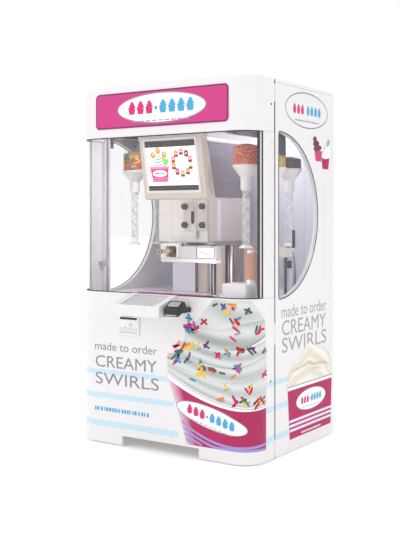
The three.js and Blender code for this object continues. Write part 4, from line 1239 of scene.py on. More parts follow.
def side_prints(sign, tag):
    at_side = on_side(sign)
    cup = [(0.365, 0.338), (0.904, 0.338), (0.888, 0.072), (0.388, 0.072)]
    ring = [ellipse(0.595, 1.864, 0.257, 0.100, 0.0, 72), ellipse(0.595, 1.864, 0.250, 0.093, 0.0, 72)]
    shapes = [(ring, 0, INK_GREY)]
    for k, mat in enumerate((INK_PINK, INK_PINK, INK_PINK, INK_BLUE, INK_BLUE, INK_BLUE, INK_BLUE)):
        offset = 0.445 + 0.046 * k + (0.022 if k > 2 else 0)
        shapes += swirl_cup(offset, 1.862, 0.042, mat, mat, 1)
    shapes += word_marks(0.45, 0.745, 1.800, 1.808, INK_MID, 1, 6)
    shapes += swirl_cup(0.732, 1.650, 0.115, INK_PINK, INK_BROWN, 0, -0.08)
    shapes += swirl_cup(0.822, 1.612, 0.120, INK_CUP, INK_WHITE, 4, 0.05)
    leaf = [ellipse(0.858, 1.700, 0.026, 0.012, 0.9, 20)]
    shapes.append((leaf, 8, surface(f"ink_leaf_{tag}", (0.20, 0.52, 0.14), 0.45)))
    for k in range(23):
        z = 1.452 - k * 0.023
        size = 0.0075 if k % 4 else 0.0045
        shapes.append(([ellipse(0.805, z, 0.010, size, 0.2, 20)], 0, INK_BLUE_SOFT))
    for z0, z1 in BAND_LEVELS:
        shapes.append(([rounded((0.232, z0), (0.372, z1), 0.001, 1)], 0, INK_PALE))
    shapes.append(([cup], 4, INK_CUP))
    for z in (0.168, 0.143, 0.118):
        left = 0.365 + (0.338 - z) / 0.266 * 0.023
        right = 0.904 - (left - 0.365) * 0.7
        stripe = rounded((left + 0.001, z - 0.007), (right - 0.001, z + 0.007), 0.001, 1)
        shapes.append(([stripe], 5, INK_STRIPE))
    shapes += [([[(0.362, 0.336), (0.907, 0.336), (0.909, 0.356), (0.360, 0.356)]], 6, INK_WHITE),
               ([[(0.361, 0.352), (0.908, 0.352), (0.9085, 0.357), (0.3605, 0.357)]], 7, INK_MID)]
    shapes += badge(0.640, 0.258, 0.180, 0.060, 0.0, 0.042, 5, INK_MID)
    shapes += word_marks(0.52, 0.76, 0.082, 0.092, INK_WHITE, 5, 9)
    prints(f"side_marks_{tag}", shapes, at_side, "cabinet")

    def at(u, v):
        a, top = curve_at(SIDE_SWIRL, u)
        return (0.372 + 0.530 * u) * (1 - v) + a * v, 0.345 * (1 - v) + top * v

    def color(u, v, s, z):
        fold = 0.5 + 0.5 * math.sin(2 * math.pi * (2.3 * v + 1.3 * u + 0.12 * math.sin(9 * u)))
        edge = max(0.0, 1 - abs(v - 0.62 - 0.12 * math.sin(7 * u + 1)) / 0.07)
        swirl = max(0.0, 1 - abs(v - 0.30 - 0.10 * math.sin(8 * u + 3)) / 0.06)
        base = mix3(CREAM_WARM, CREAM_FOLD, fold * 0.8)
        base = mix3(base, CARAMEL, edge * 0.8 * (0.4 + 0.6 * math.sin(math.pi * u)))
        return mix3(base, CREAM_BROWN, swirl * 0.55 * max(0.0, math.sin(13 * u)))
    shaded_grid(f"side_swirl_{tag}", 90, 44, at, color, 2, "cabinet", at_side)

    def written(a, b, out=0.0):
        return at_side(a if sign > 0 else 1.131 - a, b, out)
    lettering(f"side_words_{tag}", (
        ("made to order", 0.297, 0.834, 0.735, 0.800),
        ("CREAMY", 0.302, 0.828, 0.640, 0.720),
        ("SWIRLS", 0.302, 0.834, 0.548, 0.628),
    ), written, "cabinet", INK_MID)


# ------------------------------------------------------------------ console, note acceptor, card reader

def console():
    lo, hi = CONSOLE
    reach = FRONT - lo.y

    def out(r):
        return FRONT - r
    top = hi.z
    nose = [(out(0.158), top - 0.0485), (out(0.1625), top - 0.053), (out(reach), top - 0.062),
            (out(reach), lo.z + 0.010), (out(0.1625), lo.z + 0.004), (out(0.157), lo.z)]
    line = [(out(0.0004), top), (out(0.150), top - 0.0454), *nose, (out(0.0004), lo.z + 0.009)]
    wall = 0.005
    x0, x1 = lo.x, hi.x
    place("console_cheek_left", prism(line, "x", x0, x0 + wall, 0.0012, 3), PAINT, "door")
    place("console_cheek_right", prism(line, "x", x1 - wall, x1, 0.0012, 3), PAINT, "door")

    def slope(r):
        return top - 0.046 / 0.152 * r
    f0, f1 = FLAP[0].x - 0.002, FLAP[1].x + 0.002
    near, far = 0.025, 0.150
    bm = bmesh.new()
    for a, b, c, d in ((x0 + wall, x1 - wall, 0.0004, near), (x0 + wall, f0, near, far),
                       (f1, x1 - wall, near, far)):
        line = [(out(c), slope(c)), (out(d), slope(d)), (out(d), slope(d) - 0.0045),
                (out(c), slope(c) - 0.0045)]
        merge(bm, prism(line, "x", a, b, 0.0003, 1))
    lip = [(out(far), slope(far)), *nose, (out(0.148), lo.z + 0.0005), (out(0.150), lo.z + 0.005),
           (out(0.158), lo.z + 0.009), (out(0.160), lo.z + 0.013), (out(0.160), top - 0.064),
           (out(0.157), top - 0.056), (out(far), slope(far) - 0.0045)]
    merge(bm, prism(lip, "x", x0 + wall, x1 - wall, 0.0004, 1))
    floor = [(out(0.0004), lo.z + 0.009), (out(0.150), lo.z + 0.0005), (out(0.150), lo.z + 0.0055),
             (out(0.0004), lo.z + 0.014)]
    merge(bm, prism(floor, "x", x0 + wall, x1 - wall, 0.0003, 1))
    place("console_shell", bm, PAINT, "door", ["vend_console"])

    def on_slope(x, r, lift=0.0):
        n = Vector((0, -0.046, 0.152)).normalized()
        return Vector((x, out(r), slope(r))) + n * lift
    rim = [rounded((f0 - 0.009, near - 0.008), (f1 + 0.009, far + 0.006), 0.006, 4),
           rounded((f0 - 0.001, near), (f1 + 0.001, far - 0.001), 0.003, 4)]
    place("console_gasket", frame_on(on_slope, rim, -0.002, 0.0018, 0.0005), GREY, "door")

    lo_f, hi_f = FLAP
    bm = bmesh.new()
    lift_top, lift_low = -0.0008, -0.0036
    loop = rounded((lo_f.x, near + 0.002), (hi_f.x, far - 0.003), 0.004, 4)
    upper = [bm.verts.new(on_slope(x, r, lift_top)) for x, r in loop]
    under = [bm.verts.new(on_slope(x, r, lift_low)) for x, r in loop]
    bm.faces.new(upper)
    bm.faces.new(list(reversed(under)))
    for i in range(len(loop)):
        j = (i + 1) % len(loop)
        bm.faces.new([upper[i], upper[j], under[j], under[i]])
    bmesh.ops.recalc_face_normals(bm, faces=bm.faces)
    bevel_sharp(bm, 0.0005, 2, 40)
    place("console_flap", bm, FLAP_MAT, "vend_flap", ["vend_flap"])
    rod = pin((0, out(near + 0.004), slope(near + 0.004) - 0.0045), "x", 0.0016, lo_f.x + 0.004,
              hi_f.x - 0.004, 0.0004, 16)
    place("console_flap_rod", rod, STEEL, "vend_flap")


def note_unit():
    lo, hi = NOTE_BOX
    face = lo.y
    slot_z = (0.708, 0.720)
    cup_z = (0.634, 0.660)
    x0, x1 = -0.264, -0.146
    holes = ((x0, x1, *slot_z), (x0, x1, *cup_z))
    bm = holed_panel(lo, Vector((hi.x, FRONT - 0.0004, hi.z)), holes)
    corners = [e for e in bm.edges if abs(e.verts[0].co.y - e.verts[1].co.y) > 0.005
               and abs(abs(e.verts[0].co.x - (lo.x + hi.x) / 2) - (hi.x - lo.x) / 2) < 1e-6
               and abs(abs(e.verts[0].co.z - (lo.z + hi.z) / 2) - (hi.z - lo.z) / 2) < 1e-6]
    bmesh.ops.bevel(bm, geom=corners, offset=0.010, segments=5, profile=0.5, affect="EDGES")
    bevel_sharp(bm, 0.0016, 3, 50)
    place("note_bezel", bm, PAINT, "door", ["note_acceptor"])
    klo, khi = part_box("service_key_lock")
    box = block((lo.x + 0.009, khi.y + 0.002, lo.z + 0.009), (hi.x - 0.009, depth(0.150), hi.z - 0.009),
                0.003)
    place("note_housing", box, ENAMEL, "door")
    throat = block((x0 + 0.0006, face + 0.0014, slot_z[0] + 0.0006),
                   (x1 - 0.0006, face + 0.008, slot_z[1] - 0.0006), 0.0006)
    merge(throat, block((x0 + 0.010, face + 0.0004, 0.7128), (x1 - 0.010, face + 0.0022, 0.7152), 0.0004, 1))
    place("note_throat", throat, BLACK, "door")
    pocket = block((x0 - 0.008, FRONT + 0.0170, cup_z[0] - 0.012),
                   (x1 + 0.008, FRONT + 0.0190, cup_z[1] + 0.012), 0.0005)
    place("coin_pocket", pocket, BLACK, "door")
    clo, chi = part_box("coin_flap")
    flap = block(clo, chi, 0.0008)
    merge(flap, pin((0, clo.y + 0.0012, chi.z - 0.002), "x", 0.0018, clo.x + 0.003, chi.x - 0.003,
                    0.0004, 16))
    merge(flap, block((clo.x + 0.040, clo.y - 0.0016, clo.z + 0.003),
                      (chi.x - 0.040, clo.y + 0.0004, clo.z + 0.006), 0.0007))
    place("coin_flap_plate", flap, STEEL, "coin_flap", ["coin_flap"])
    kx, kz = (klo.x + khi.x) / 2, (klo.z + khi.z) / 2
    lock = pin((kx, 0, kz), "y", 0.0088, klo.y, khi.y, 0.0012, 36)
    place("key_barrel", lock, STEEL, "service_key_lock", ["service_key_lock"])
    key = block((kx - 0.0011, klo.y - 0.0006, kz - 0.0055), (kx + 0.0011, klo.y + 0.0012, kz + 0.0055),
                0.0003, 1)
    place("key_slot", key, BLACK, "service_key_lock")
    collar = lathe([(0.0100, 0), (0.0140, 0), (0.0136, -0.0016), (0.0122, -0.0022), (0.0104, -0.0022)],
                   (kx, face + 0.0002, kz), "y", 40)
    place("key_collar", collar, STEEL, "door")
    prints("note_marks", [([rounded((-0.244, 0.7235), (-0.166, 0.7265), 0.0012, 3)], 0, INK_GREY),
                          ([rounded((-0.236, 0.6640), (-0.214, 0.6670), 0.0012, 3)], 0, INK_GREY)],
           lambda a, b, o=0.0: Vector((a, face - o, b)), "door")


def door_lock():
    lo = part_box("door_lock")[0]
    y, z = depth(0.187), 1.0
    barrel = pin((0, y, z), "x", 0.0088, lo.x, -HALF + WALL + 0.014, 0.0012, 36)
    merge(barrel, block((-HALF + WALL + 0.004, y - 0.008, lo.z), (-HALF + WALL + 0.010, y + 0.008, z + 0.008),
                        0.0015))
    place("door_lock_barrel", barrel, STEEL, "door_lock", ["door_lock"])
    key = block((lo.x - 0.0006, y - 0.0055, z - 0.0011), (lo.x + 0.0012, y + 0.0055, z + 0.0011), 0.0003, 1)
    place("door_lock_slot", key, BLACK, "door_lock")
    ring = lathe([(0.0100, 0.0002), (0.0145, 0.0002), (0.0140, -0.0016), (0.0125, -0.0020),
                  (0.0103, -0.0020)],
                 (-HALF, y, z), "x", 40)
    place("door_lock_collar", ring, STEEL, "door")


def card_reader():
    lo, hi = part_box("card_reader")
    x0, x1 = lo.x, hi.x
    out = [(-0.150, 0.757), (-0.061, 0.795), (-0.089, 0.838), (-0.150, 0.798)]
    line = [(depth(d), z) for d, z in out]
    place("reader_body", prism(line, "x", x0, x1, 0.007, 4), BLACK, "door", ["card_reader"])
    arm = [(depth(d), z) for d, z in ((-0.070, 0.772), (-0.0004, 0.772), (-0.0004, 0.799), (-0.084, 0.799))]
    place("reader_arm", prism(arm, "x", 0.155, 0.207, 0.002, 2), BLACK, "door")
    a, b = Vector((0, depth(-0.150), 0.798)), Vector((0, depth(-0.089), 0.838))
    along = (b - a).normalized()
    up = Vector((0, -along.z, along.y))

    def on_top(x, r, lift=0.0):
        return a + along * r + up * lift + Vector((x, 0, 0))
    length = (b - a).length
    screen = [rounded((x0 + 0.014, length * 0.30), (x1 - 0.014, length * 0.84), 0.005, 5)]
    frame_line = [rounded((x0 + 0.010, length * 0.24), (x1 - 0.010, length * 0.90), 0.007, 5)]
    shapes = [(frame_line, 1, BLACK_GLOSS), (screen, 2, READER_SCREEN)]
    for k in range(3):
        u = (x0 + x1) / 2 - 0.018 + 0.018 * k
        shapes.append(([ellipse(u, length * 0.57, 0.0045, 0.0045, 0, 20)], 3, INK_MID))
    for k in range(4):
        u = x0 + 0.022 + 0.0173 * k
        shapes.append(([ellipse(u, length * 0.945, 0.0018, 0.0018, 0, 14)], 2, INK_BLUE))
    prints("reader_screen", shapes, on_top, "door")
    c = Vector((0, depth(-0.150), 0.757))
    lip = block((x0 + 0.012, c.y - 0.0006, 0.764), (x1 - 0.012, c.y + 0.004, 0.769), 0.0008)
    place("reader_slot", lip, GREY, "door")


# ------------------------------------------------------------------ display and payment box

def display():
    lo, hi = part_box("display_housing")
    x0, x1 = lo.x, hi.x
    line = [(0.0183, 1.810), (0.0183, 1.732), (0.060, 1.732), (0.123, 1.376), (0.131, 1.370), (0.206, 1.370),
            (0.213, 1.378), (0.117, 1.745), (0.117, 1.810)]
    place("display_case", prism([(depth(d), z) for d, z in line], "x", x0, x1, 0.004, 4), BEIGE, "door",
          ["display_housing"])
    mid_x = 0.0137
    low, high = Vector((mid_x, depth(0.123), 1.376)), Vector((mid_x, depth(0.060), 1.732))
    along = (high - low).normalized()
    up = Vector((0, -along.z, along.y))
    span = (high - low).length

    def on_face(x, r, lift=0.0):
        return low + along * r + up * lift + Vector((x, 0, 0))
    r0, r1 = 0.0437, 0.3188
    half = 0.166
    loops = [rounded((-half - 0.014, r0 - 0.014), (half + 0.014, r1 + 0.014), 0.008, 5),
             rounded((-half - 0.001, r0 - 0.001), (half + 0.001, r1 + 0.001), 0.002, 5)]
    place("display_bezel", frame_on(on_face, loops, -0.001, 0.0025, 0.0008), BEIGE_LIGHT, "door")

    bar = 0.028
    shapes = [([rounded((-half, r0), (half, r1), 0.001, 1)], 0, BLACK_SCREEN),
              ([rounded((-half, r0 + bar), (half, r1 - bar * 1.25), 0.0005, 1)], 1, SCREEN_WHITE)]
    mid = (r0 + r1) / 2
    for x, r in ((-0.116, 0.060), (-0.079, 0.084), (-0.040, 0.060)):
        shapes.append(([ellipse(x, mid + r, 0.015, 0.018, 0.3, 28)], 12, SCREEN_INKS["orange"]))
        shapes.append(([ellipse(x + 0.003, mid + r + 0.005, 0.006, 0.007, 0.3, 16)], 13,
                       SCREEN_INKS["peach"]))
    for k, (hw, up_r) in enumerate(((0.054, 0.0), (0.047, 0.015), (0.038, 0.030), (0.026, 0.045),
                                    (0.013, 0.058))):
        for inset, lift, ink in ((0.0, 0, "shade"), (0.004, 1, "cream")):
            turn = ellipse(-0.080, mid + 0.002 + up_r + inset * 0.6, hw - inset, 0.015 - inset, 0.1, 28)
            shapes.append(([turn], 2 + 2 * k + lift, SCREEN_INKS[ink]))
    shapes.append(([ellipse(-0.030, mid + 0.020, 0.022, 0.011, 0.7, 24)], 12, SCREEN_INKS["green"]))
    shapes.append(([ellipse(-0.040, mid + 0.030, 0.018, 0.009, 2.4, 24)], 13, SCREEN_INKS["green"]))
    cup = [(-0.142, mid - 0.008), (-0.018, mid - 0.008), (-0.030, mid - 0.088), (-0.130, mid - 0.088)]
    shapes.append(([cup[::-1]], 13, SCREEN_INKS["pink"]))
    lip = [(-0.145, mid - 0.016), (-0.015, mid - 0.016), (-0.014, mid - 0.004), (-0.146, mid - 0.004)]
    shapes.append(([lip], 14, SCREEN_INKS["rose"]))
    shapes.append(([ellipse(-0.080, mid - 0.042, 0.048, 0.019, 0, 40)], 14, SCREEN_WHITE))
    for k, ink in enumerate(("pink", "pink", "blue", "blue")):
        shapes.append(([ellipse(-0.106 + 0.017 * k, mid - 0.042, 0.007, 0.006, 0, 16)], 15, SCREEN_INKS[ink]))
    for k in range(2):
        r = mid - 0.068 - 0.010 * k
        shapes.append(([rounded((-0.130, r - 0.002), (-0.030, r + 0.002), 0.001, 2)], 14,
                       SCREEN_INKS["rose"]))
    ring_inks = ("rose", "plum", "rose", "orange", "rose", "orange", "pink", "olive", "orange", "peach")
    for k, ink in enumerate(ring_inks):
        a = 2 * math.pi * k / len(ring_inks) + 0.31
        x, r = 0.072 + 0.058 * math.cos(a), mid + 0.014 + 0.060 * math.sin(a)
        shapes.append(([ellipse(x, r + 0.004, 0.0145, 0.0150, 0, 20)], 2, SCREEN_INKS[ink]))
        shapes.append(([rounded((x - 0.013, r - 0.018), (x + 0.013, r - 0.004), 0.002, 2)], 3,
                       SCREEN_INKS["plum"]))
        shapes.append(([ellipse(x, r + 0.001, 0.0060, 0.0050, 0, 16)], 4, SCREEN_INKS["peach"]))
    prints("display_screen", shapes, on_face, "door")
    vents = bmesh.new()
    for k in range(7):
        r = span * (0.08 + 0.035 * k)
        merge(vents, bar_on(on_face, 0.188, 0.193, r, r + 0.003))
    place("display_buttons", vents, BLACK, "door")
    sides = []
    for k in range(5):
        d = 0.135 + 0.012 * k
        sides.append(([rounded((d, 1.43 - 0.010 * k), (d + 0.004, 1.56 - 0.010 * k), 0.002, 3)], 0, INK_GREY))
    prints("display_side_slots", sides, lambda a, b, o=0.0: Vector((x1 + o, depth(a), b)), "door")
    # The bracket takes the inside paint: painted shade and painted lilac lamp light.
    bracket = block((-0.12, depth(0.022), 1.8105), (0.12, depth(0.112), TOP - 0.0195), 0.002)
    place("display_bracket", bracket, PAINT_IN_SHADED, "door")


def bar_on(at, x0, x1, r0, r1):
    corners = [(x0, r0), (x1, r0), (x1, r1), (x0, r1)]
    verts = [at(x, r, lift) for lift in (-0.0004, 0.0008) for x, r in corners]
    faces = [[0, 1, 2, 3], [7, 6, 5, 4], [0, 4, 5, 1], [1, 5, 6, 2], [2, 6, 7, 3], [3, 7, 4, 0]]
    return solid(verts, faces, 0.0002, 1)


def payment_box():
    lo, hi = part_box("payment_enclosure")
    y0, y1 = depth(0.060), hi.y
    line = rounded((lo.x, y0), (hi.x, y1), 0.014, 6)
    bm = prism(line, "z", lo.z, hi.z - 0.001, 0.009, 5, 60)
    place("payment_case", bm, WHITE, "door", ["payment_enclosure"])
    foot = block((lo.x + 0.004, depth(0.0184), lo.z + 0.002), (0.449, depth(0.062), 0.844), 0.003)
    place("payment_foot", foot, WHITE, "door")


# ------------------------------------------------------------------ freezer

def freezer():
    lo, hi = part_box("freezer_cabinet")
    wall = 0.008
    split = 1.386
    bm = bmesh.new()
    bore = 0.0523
    blo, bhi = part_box("freezing_barrel")
    cx, cz = (blo.x + bhi.x) / 2, (blo.z + bhi.z) / 2
    outer = rounded((lo.x, lo.z), (hi.x, hi.z), 0.004, 3)
    # Front plate with the barrel hole: ring from the hole out to the plate edge.
    hole = [(cx + bore * math.cos(2 * math.pi * i / 48),
             cz + bore * math.sin(2 * math.pi * i / 48)) for i in range(48)]
    rim = box_outline_like(hole, (lo.x, lo.z), (hi.x, hi.z))
    for corner in ((lo.x, lo.z), (hi.x, lo.z), (hi.x, hi.z), (lo.x, hi.z)):
        nearest = min(range(48), key=lambda i: math.atan2(
            abs((rim[i][0] - cx) * (corner[1] - cz) - (rim[i][1] - cz) * (corner[0] - cx)),
            (rim[i][0] - cx) * (corner[0] - cx) + (rim[i][1] - cz) * (corner[1] - cz)))
        rim[nearest] = corner
    merge(bm, ringed(rim, hole, "y", lo.y, lo.y + wall, 0.0010))
    tube_in = rounded((lo.x + wall, lo.z + wall), (hi.x - wall, hi.z - wall), 0.003, 3)
    merge(bm, ringed(outer, tube_in, "y", lo.y + 0.0004, hi.y, 0.0015))
    place("freezer_shell", bm, FREEZER_STEEL, "cabinet", ["freezer_cabinet"])
    # Insulated hood over the upper part, glossier than the lower panels; its darker colour is a painted
    # reflection in the steel.
    hood = rounded((lo.x - 0.0016, lo.y - 0.0012), (hi.x + 0.0016, hi.y + 0.001), 0.006, 4)
    core = rounded((lo.x - 0.0004, lo.y - 0.0002), (hi.x + 0.0004, hi.y + 0.0002), 0.005, 4)
    place("freezer_hood", ringed(hood, core, "z", split, hi.z + 0.001, 0.0004), STEEL_DARK_REFLECTION, "cabinet")
    lid = prism(hood, "z", hi.z + 0.0012, hi.z + 0.022, 0.004, 3)
    place("freezer_lid", lid, STEEL, "cabinet")
    knob = lathe([(0.0, 0.0), (0.016, 0.0), (0.013, 0.010), (0.022, 0.020), (0.022, 0.028), (0.0, 0.031)],
                 (-0.075, depth(0.55), hi.z + 0.0225), "z", 32)
    place("freezer_lid_knob", knob, BLACK, "cabinet")
    edge = block((lo.x - 0.002, lo.y - 0.0022, split - 0.006), (hi.x + 0.002, hi.y + 0.001, split - 0.0005),
                 0.001)
    place("freezer_belt", edge, STEEL, "cabinet")
    seams = bmesh.new()
    x = -0.150
    merge(seams, block((x - 0.0008, lo.y - 0.0008, lo.z + 0.006), (x + 0.0008, lo.y + 0.0004, split - 0.010),
                       0.0002, 1))
    for y in (0.036, 0.245):
        merge(seams, block((hi.x - 0.0004, y - 0.0008, lo.z + 0.006),
                           (hi.x + 0.0008, y + 0.0008, split - 0.010), 0.0002, 1))
    place("freezer_panel_seams", seams, GREY, "cabinet")
    # Beige, lilac and warm grey bands on the freezer's steel side: painted reflections in the steel.
    for k, (y0, y1, mat) in enumerate(((-0.050, 0.034, BEIGE), (0.042, 0.085, LINER),
                                       (0.093, 0.400, SIDE_REFLECTION_SHEET)), 1):
        sheet = block((hi.x - 0.0003, y0, lo.z + 0.006), (hi.x + 0.0014, y1, split - 0.012), 0.0006, 2)
        place(f"freezer_side_painted_reflection_{k}", sheet, mat, "cabinet")
    rivets = bmesh.new()
    for x in (lo.x + 0.016, hi.x - 0.016):
        for z in (lo.z + 0.016, split - 0.022):
            merge(rivets, pin((x, lo.y, z), "y", 0.0045, -0.0018, 0.0006, 0.0012, 18))
    place("freezer_screws", rivets, STEEL, "cabinet")

    length = bhi.y - blo.y
    tube = lathe([(0.048, 0.0), (0.052, 0.0), (0.052, length), (0.012, length), (0.012, length - 0.006),
                  (0.048, length - 0.006)], (cx, blo.y, cz), "y", 56)
    bevel_sharp(tube, 0.0008, 2, 50)
    coil = sweep([(cx + 0.0575 * math.cos(a), blo.y + 0.02 + 0.25 * k / 240, cz + 0.0575 * math.sin(a))
                  for k in range(241) for a in (2 * math.pi * 14 * k / 240,)], 0.0045, 8)
    merge(tube, coil)
    place("freezing_cylinder", tube, STEEL, "cabinet", ["freezing_barrel"])

    beater_lo, beater_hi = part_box("beater")
    shaft = pin((cx, 0, cz), "y", 0.0108, beater_lo.y, beater_hi.y, 0.0015, 28)
    blade = ((0.0335, -0.003), (0.0445, -0.003), (0.0445, 0.003), (0.0335, 0.003))
    steps = 60
    for start in (0.0, math.pi):
        sections = []
        for i in range(steps + 1):
            a = start + math.pi * 1.4 * i / steps
            y = blo.y + 0.028 + 0.226 * i / steps
            sections.append([(cx + r * math.cos(a) - w * math.sin(a), y,
                              cz + r * math.sin(a) + w * math.cos(a)) for r, w in blade])
        merge(shaft, strip(sections, 0.0006, 2, 50))
        for i in (0, 30, 60):
            a = start + math.pi * 1.4 * i / steps
            y = blo.y + 0.028 + 0.226 * i / steps
            spoke = [(cx + r * math.cos(a), y, cz + r * math.sin(a)) for r in (0.006, 0.022, 0.038)]
            merge(shaft, sweep(spoke, 0.003, 10))
    place("beater_blades", shaft, STEEL, "beater", ["beater"])

    mlo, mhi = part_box("drive_motor")
    gear = block((cx - 0.055, mlo.y, mlo.z), (cx + 0.055, mlo.y + 0.040, cz + 0.055), 0.005, 3)
    place("drive_gearbox", gear, ENAMEL, "cabinet", ["drive_motor"])
    motor = pin((cx, 0, cz), "y", 0.046, mlo.y + 0.041, mhi.y, 0.006, 48)
    for k in range(14):
        merge(motor, lathe([(0.046, 0), (0.0478, 0.0004), (0.0478, 0.0022), (0.046, 0.0026)],
                           (cx, mlo.y + 0.050 + 0.0048 * k, cz), "y", 48))
    place("drive_motor_body", motor, ENAMEL, "cabinet")

    plo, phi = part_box("freezer_pedestal")
    top = phi.z
    px, py, radius = 0.035, 0.300, 0.055
    stand = bmesh.new()
    merge(stand, pin((px, py, 0), "z", radius, DECK + 0.0004, top - 0.020, 0.001, 64))
    merge(stand, block((plo.x, plo.y, top - 0.020), (phi.x, phi.y, top), 0.002))
    merge(stand, lathe([(radius + 0.0002, 0.0), (0.072, 0.0), (0.072, 0.006), (0.068, 0.009),
                        (radius + 0.0002, 0.010)],
                       (px, py, DECK + 0.0004), "z", 64))
    place("freezer_stand", stand, COLUMN_STEEL, "cabinet", ["freezer_pedestal"])
    legs = bmesh.new()
    for x0, x1 in ((-0.066, 0.0), (0.047, phi.x)):
        merge(legs, block((x0, 0.085, DECK + 0.0004), (x1, 0.125, top - 0.0202), 0.003))
    place("freezer_front_legs", legs, LEG_PAINT, "cabinet")
    # Panel between the freezer legs in the lining colour: painted lilac lamp light.
    screen = block((-0.228, 0.060, DECK + 0.0004), (-0.070, 0.066, top - 0.0202), 0.002)
    merge(screen, block((-0.228, 0.0662, DECK + 0.0004), (-0.216, plo.y + 0.370, top - 0.0202), 0.002))
    place("freezer_leg_panel", screen, LINER, "cabinet")


def draw_head():
    lo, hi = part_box("draw_head")
    cx = (lo.x + hi.x) / 2
    y0, y1 = lo.y, hi.y
    plate_y, rod_y = y0 + 0.010, y0 + 0.014
    bm = prism(rounded((lo.x, 1.196), (hi.x, 1.366), 0.010, 6), "y", plate_y, y1, 0.0022, 3)
    merge(bm, lathe([(0.0104, -0.046), (0.0124, -0.046), (0.0134, -0.043), (0.0137, -0.004), (0.0137, 0.0006),
                     (0.0104, 0.0006)], (cx, rod_y, 1.196), "z", 36))
    merge(bm, prism(rounded((cx - 0.017, 1.198), (cx + 0.017, 1.364), 0.007, 5), "y", y0, plate_y + 0.0005,
                    0.0022, 3))
    place("draw_block", bm, HEAD_MAT, "cabinet", ["draw_head"])
    rim = rounded((lo.x - 0.002, 1.194), (hi.x + 0.002, 1.368), 0.011, 6)
    place("draw_block_gasket", prism(rim, "y", y1 - 0.0012, y1 - 0.0002, 0.0003, 1), GREY, "cabinet")
    for i in range(1, 5):
        slo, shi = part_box(f"hand_screw_{i}")
        x, z = (slo.x + shi.x) / 2, (slo.z + shi.z) / 2
        outline = []
        for k in range(72):
            a = 2 * math.pi * k / 72
            r = 0.0176 + 0.0014 * math.cos(6 * a)
            outline.append((x + r * math.cos(a), z + r * math.sin(a)))
        knob = prism(outline, "y", slo.y + 0.002, slo.y + 0.0215, 0.0022, 3, 50)
        merge(knob, lathe([(0.0, -0.002), (0.0075, -0.002), (0.0090, 0.0), (0.0090, 0.003), (0.0, 0.003)],
                          (x, slo.y + 0.002, z), "y", 28))
        merge(knob, pin((x, 0, z), "y", 0.0056, slo.y + 0.020, shi.y, 0.0006, 20))
        place(f"screw_knob_{i}", knob, KNOB, f"hand_screw_{i}", [f"hand_screw_{i}"])
        washer = lathe([(0.0066, 0.0), (0.0145, 0.0), (0.0145, -0.0012), (0.0066, -0.0012)],
                       (x, plate_y - 0.0004, z), "y", 32)
        place(f"screw_washer_{i}", washer, STEEL, "cabinet")
    plo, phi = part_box("draw_plunger")
    grip_y = plo.y + 0.0065
    link = pin((cx, rod_y, 0), "z", 0.0098, plo.z, phi.z, 0.002, 28)
    merge(link, sweep([(cx, rod_y, phi.z - 0.007), (cx, rod_y - 0.010, phi.z - 0.006),
                       (cx, grip_y + 0.006, phi.z - 0.008),
                       (cx, grip_y, phi.z - 0.018), (cx, grip_y, 1.302)], 0.0045, 14))
    place("draw_link", link, STEEL, "draw_plunger")
    grip = prism(rounded((cx - 0.0062, 1.235), (cx + 0.0062, 1.306), 0.0058, 6), "y", plo.y, plo.y + 0.013,
                 0.003, 3, 50)
    place("draw_handle", grip, BLACK, "draw_plunger", ["draw_plunger"])


# ------------------------------------------------------------------ toppings

JAR_CONTENTS = {
    1: ("sprinkles_orange", 1.650, ((0.85, 0.10, 0.01), (0.74, 0.02, 0.01), (0.90, 0.24, 0.02),
                                    (0.50, 0.01, 0.05), (0.90, 0.34, 0.06), (0.40, 0.06, 0.20)), 120),
    2: ("crunch_yellow", 1.614, ((0.84, 0.46, 0.06), (0.78, 0.34, 0.03), (0.88, 0.58, 0.14)), 110),
    3: ("chocolate_bits", 1.606, ((0.10, 0.016, 0.022), (0.15, 0.026, 0.030), (0.07, 0.014, 0.018)), 90),
    4: ("candies_mixed", 1.650, ((0.86, 0.16, 0.01), (0.03, 0.28, 0.04), (0.82, 0.50, 0.01),
                                 (0.02, 0.16, 0.30), (0.60, 0.02, 0.01), (0.75, 0.30, 0.01)), 62),
    5: ("marshmallow", 1.640, ((0.85, 0.80, 0.78), (0.84, 0.60, 0.62), (0.86, 0.84, 0.74)), 80),
}


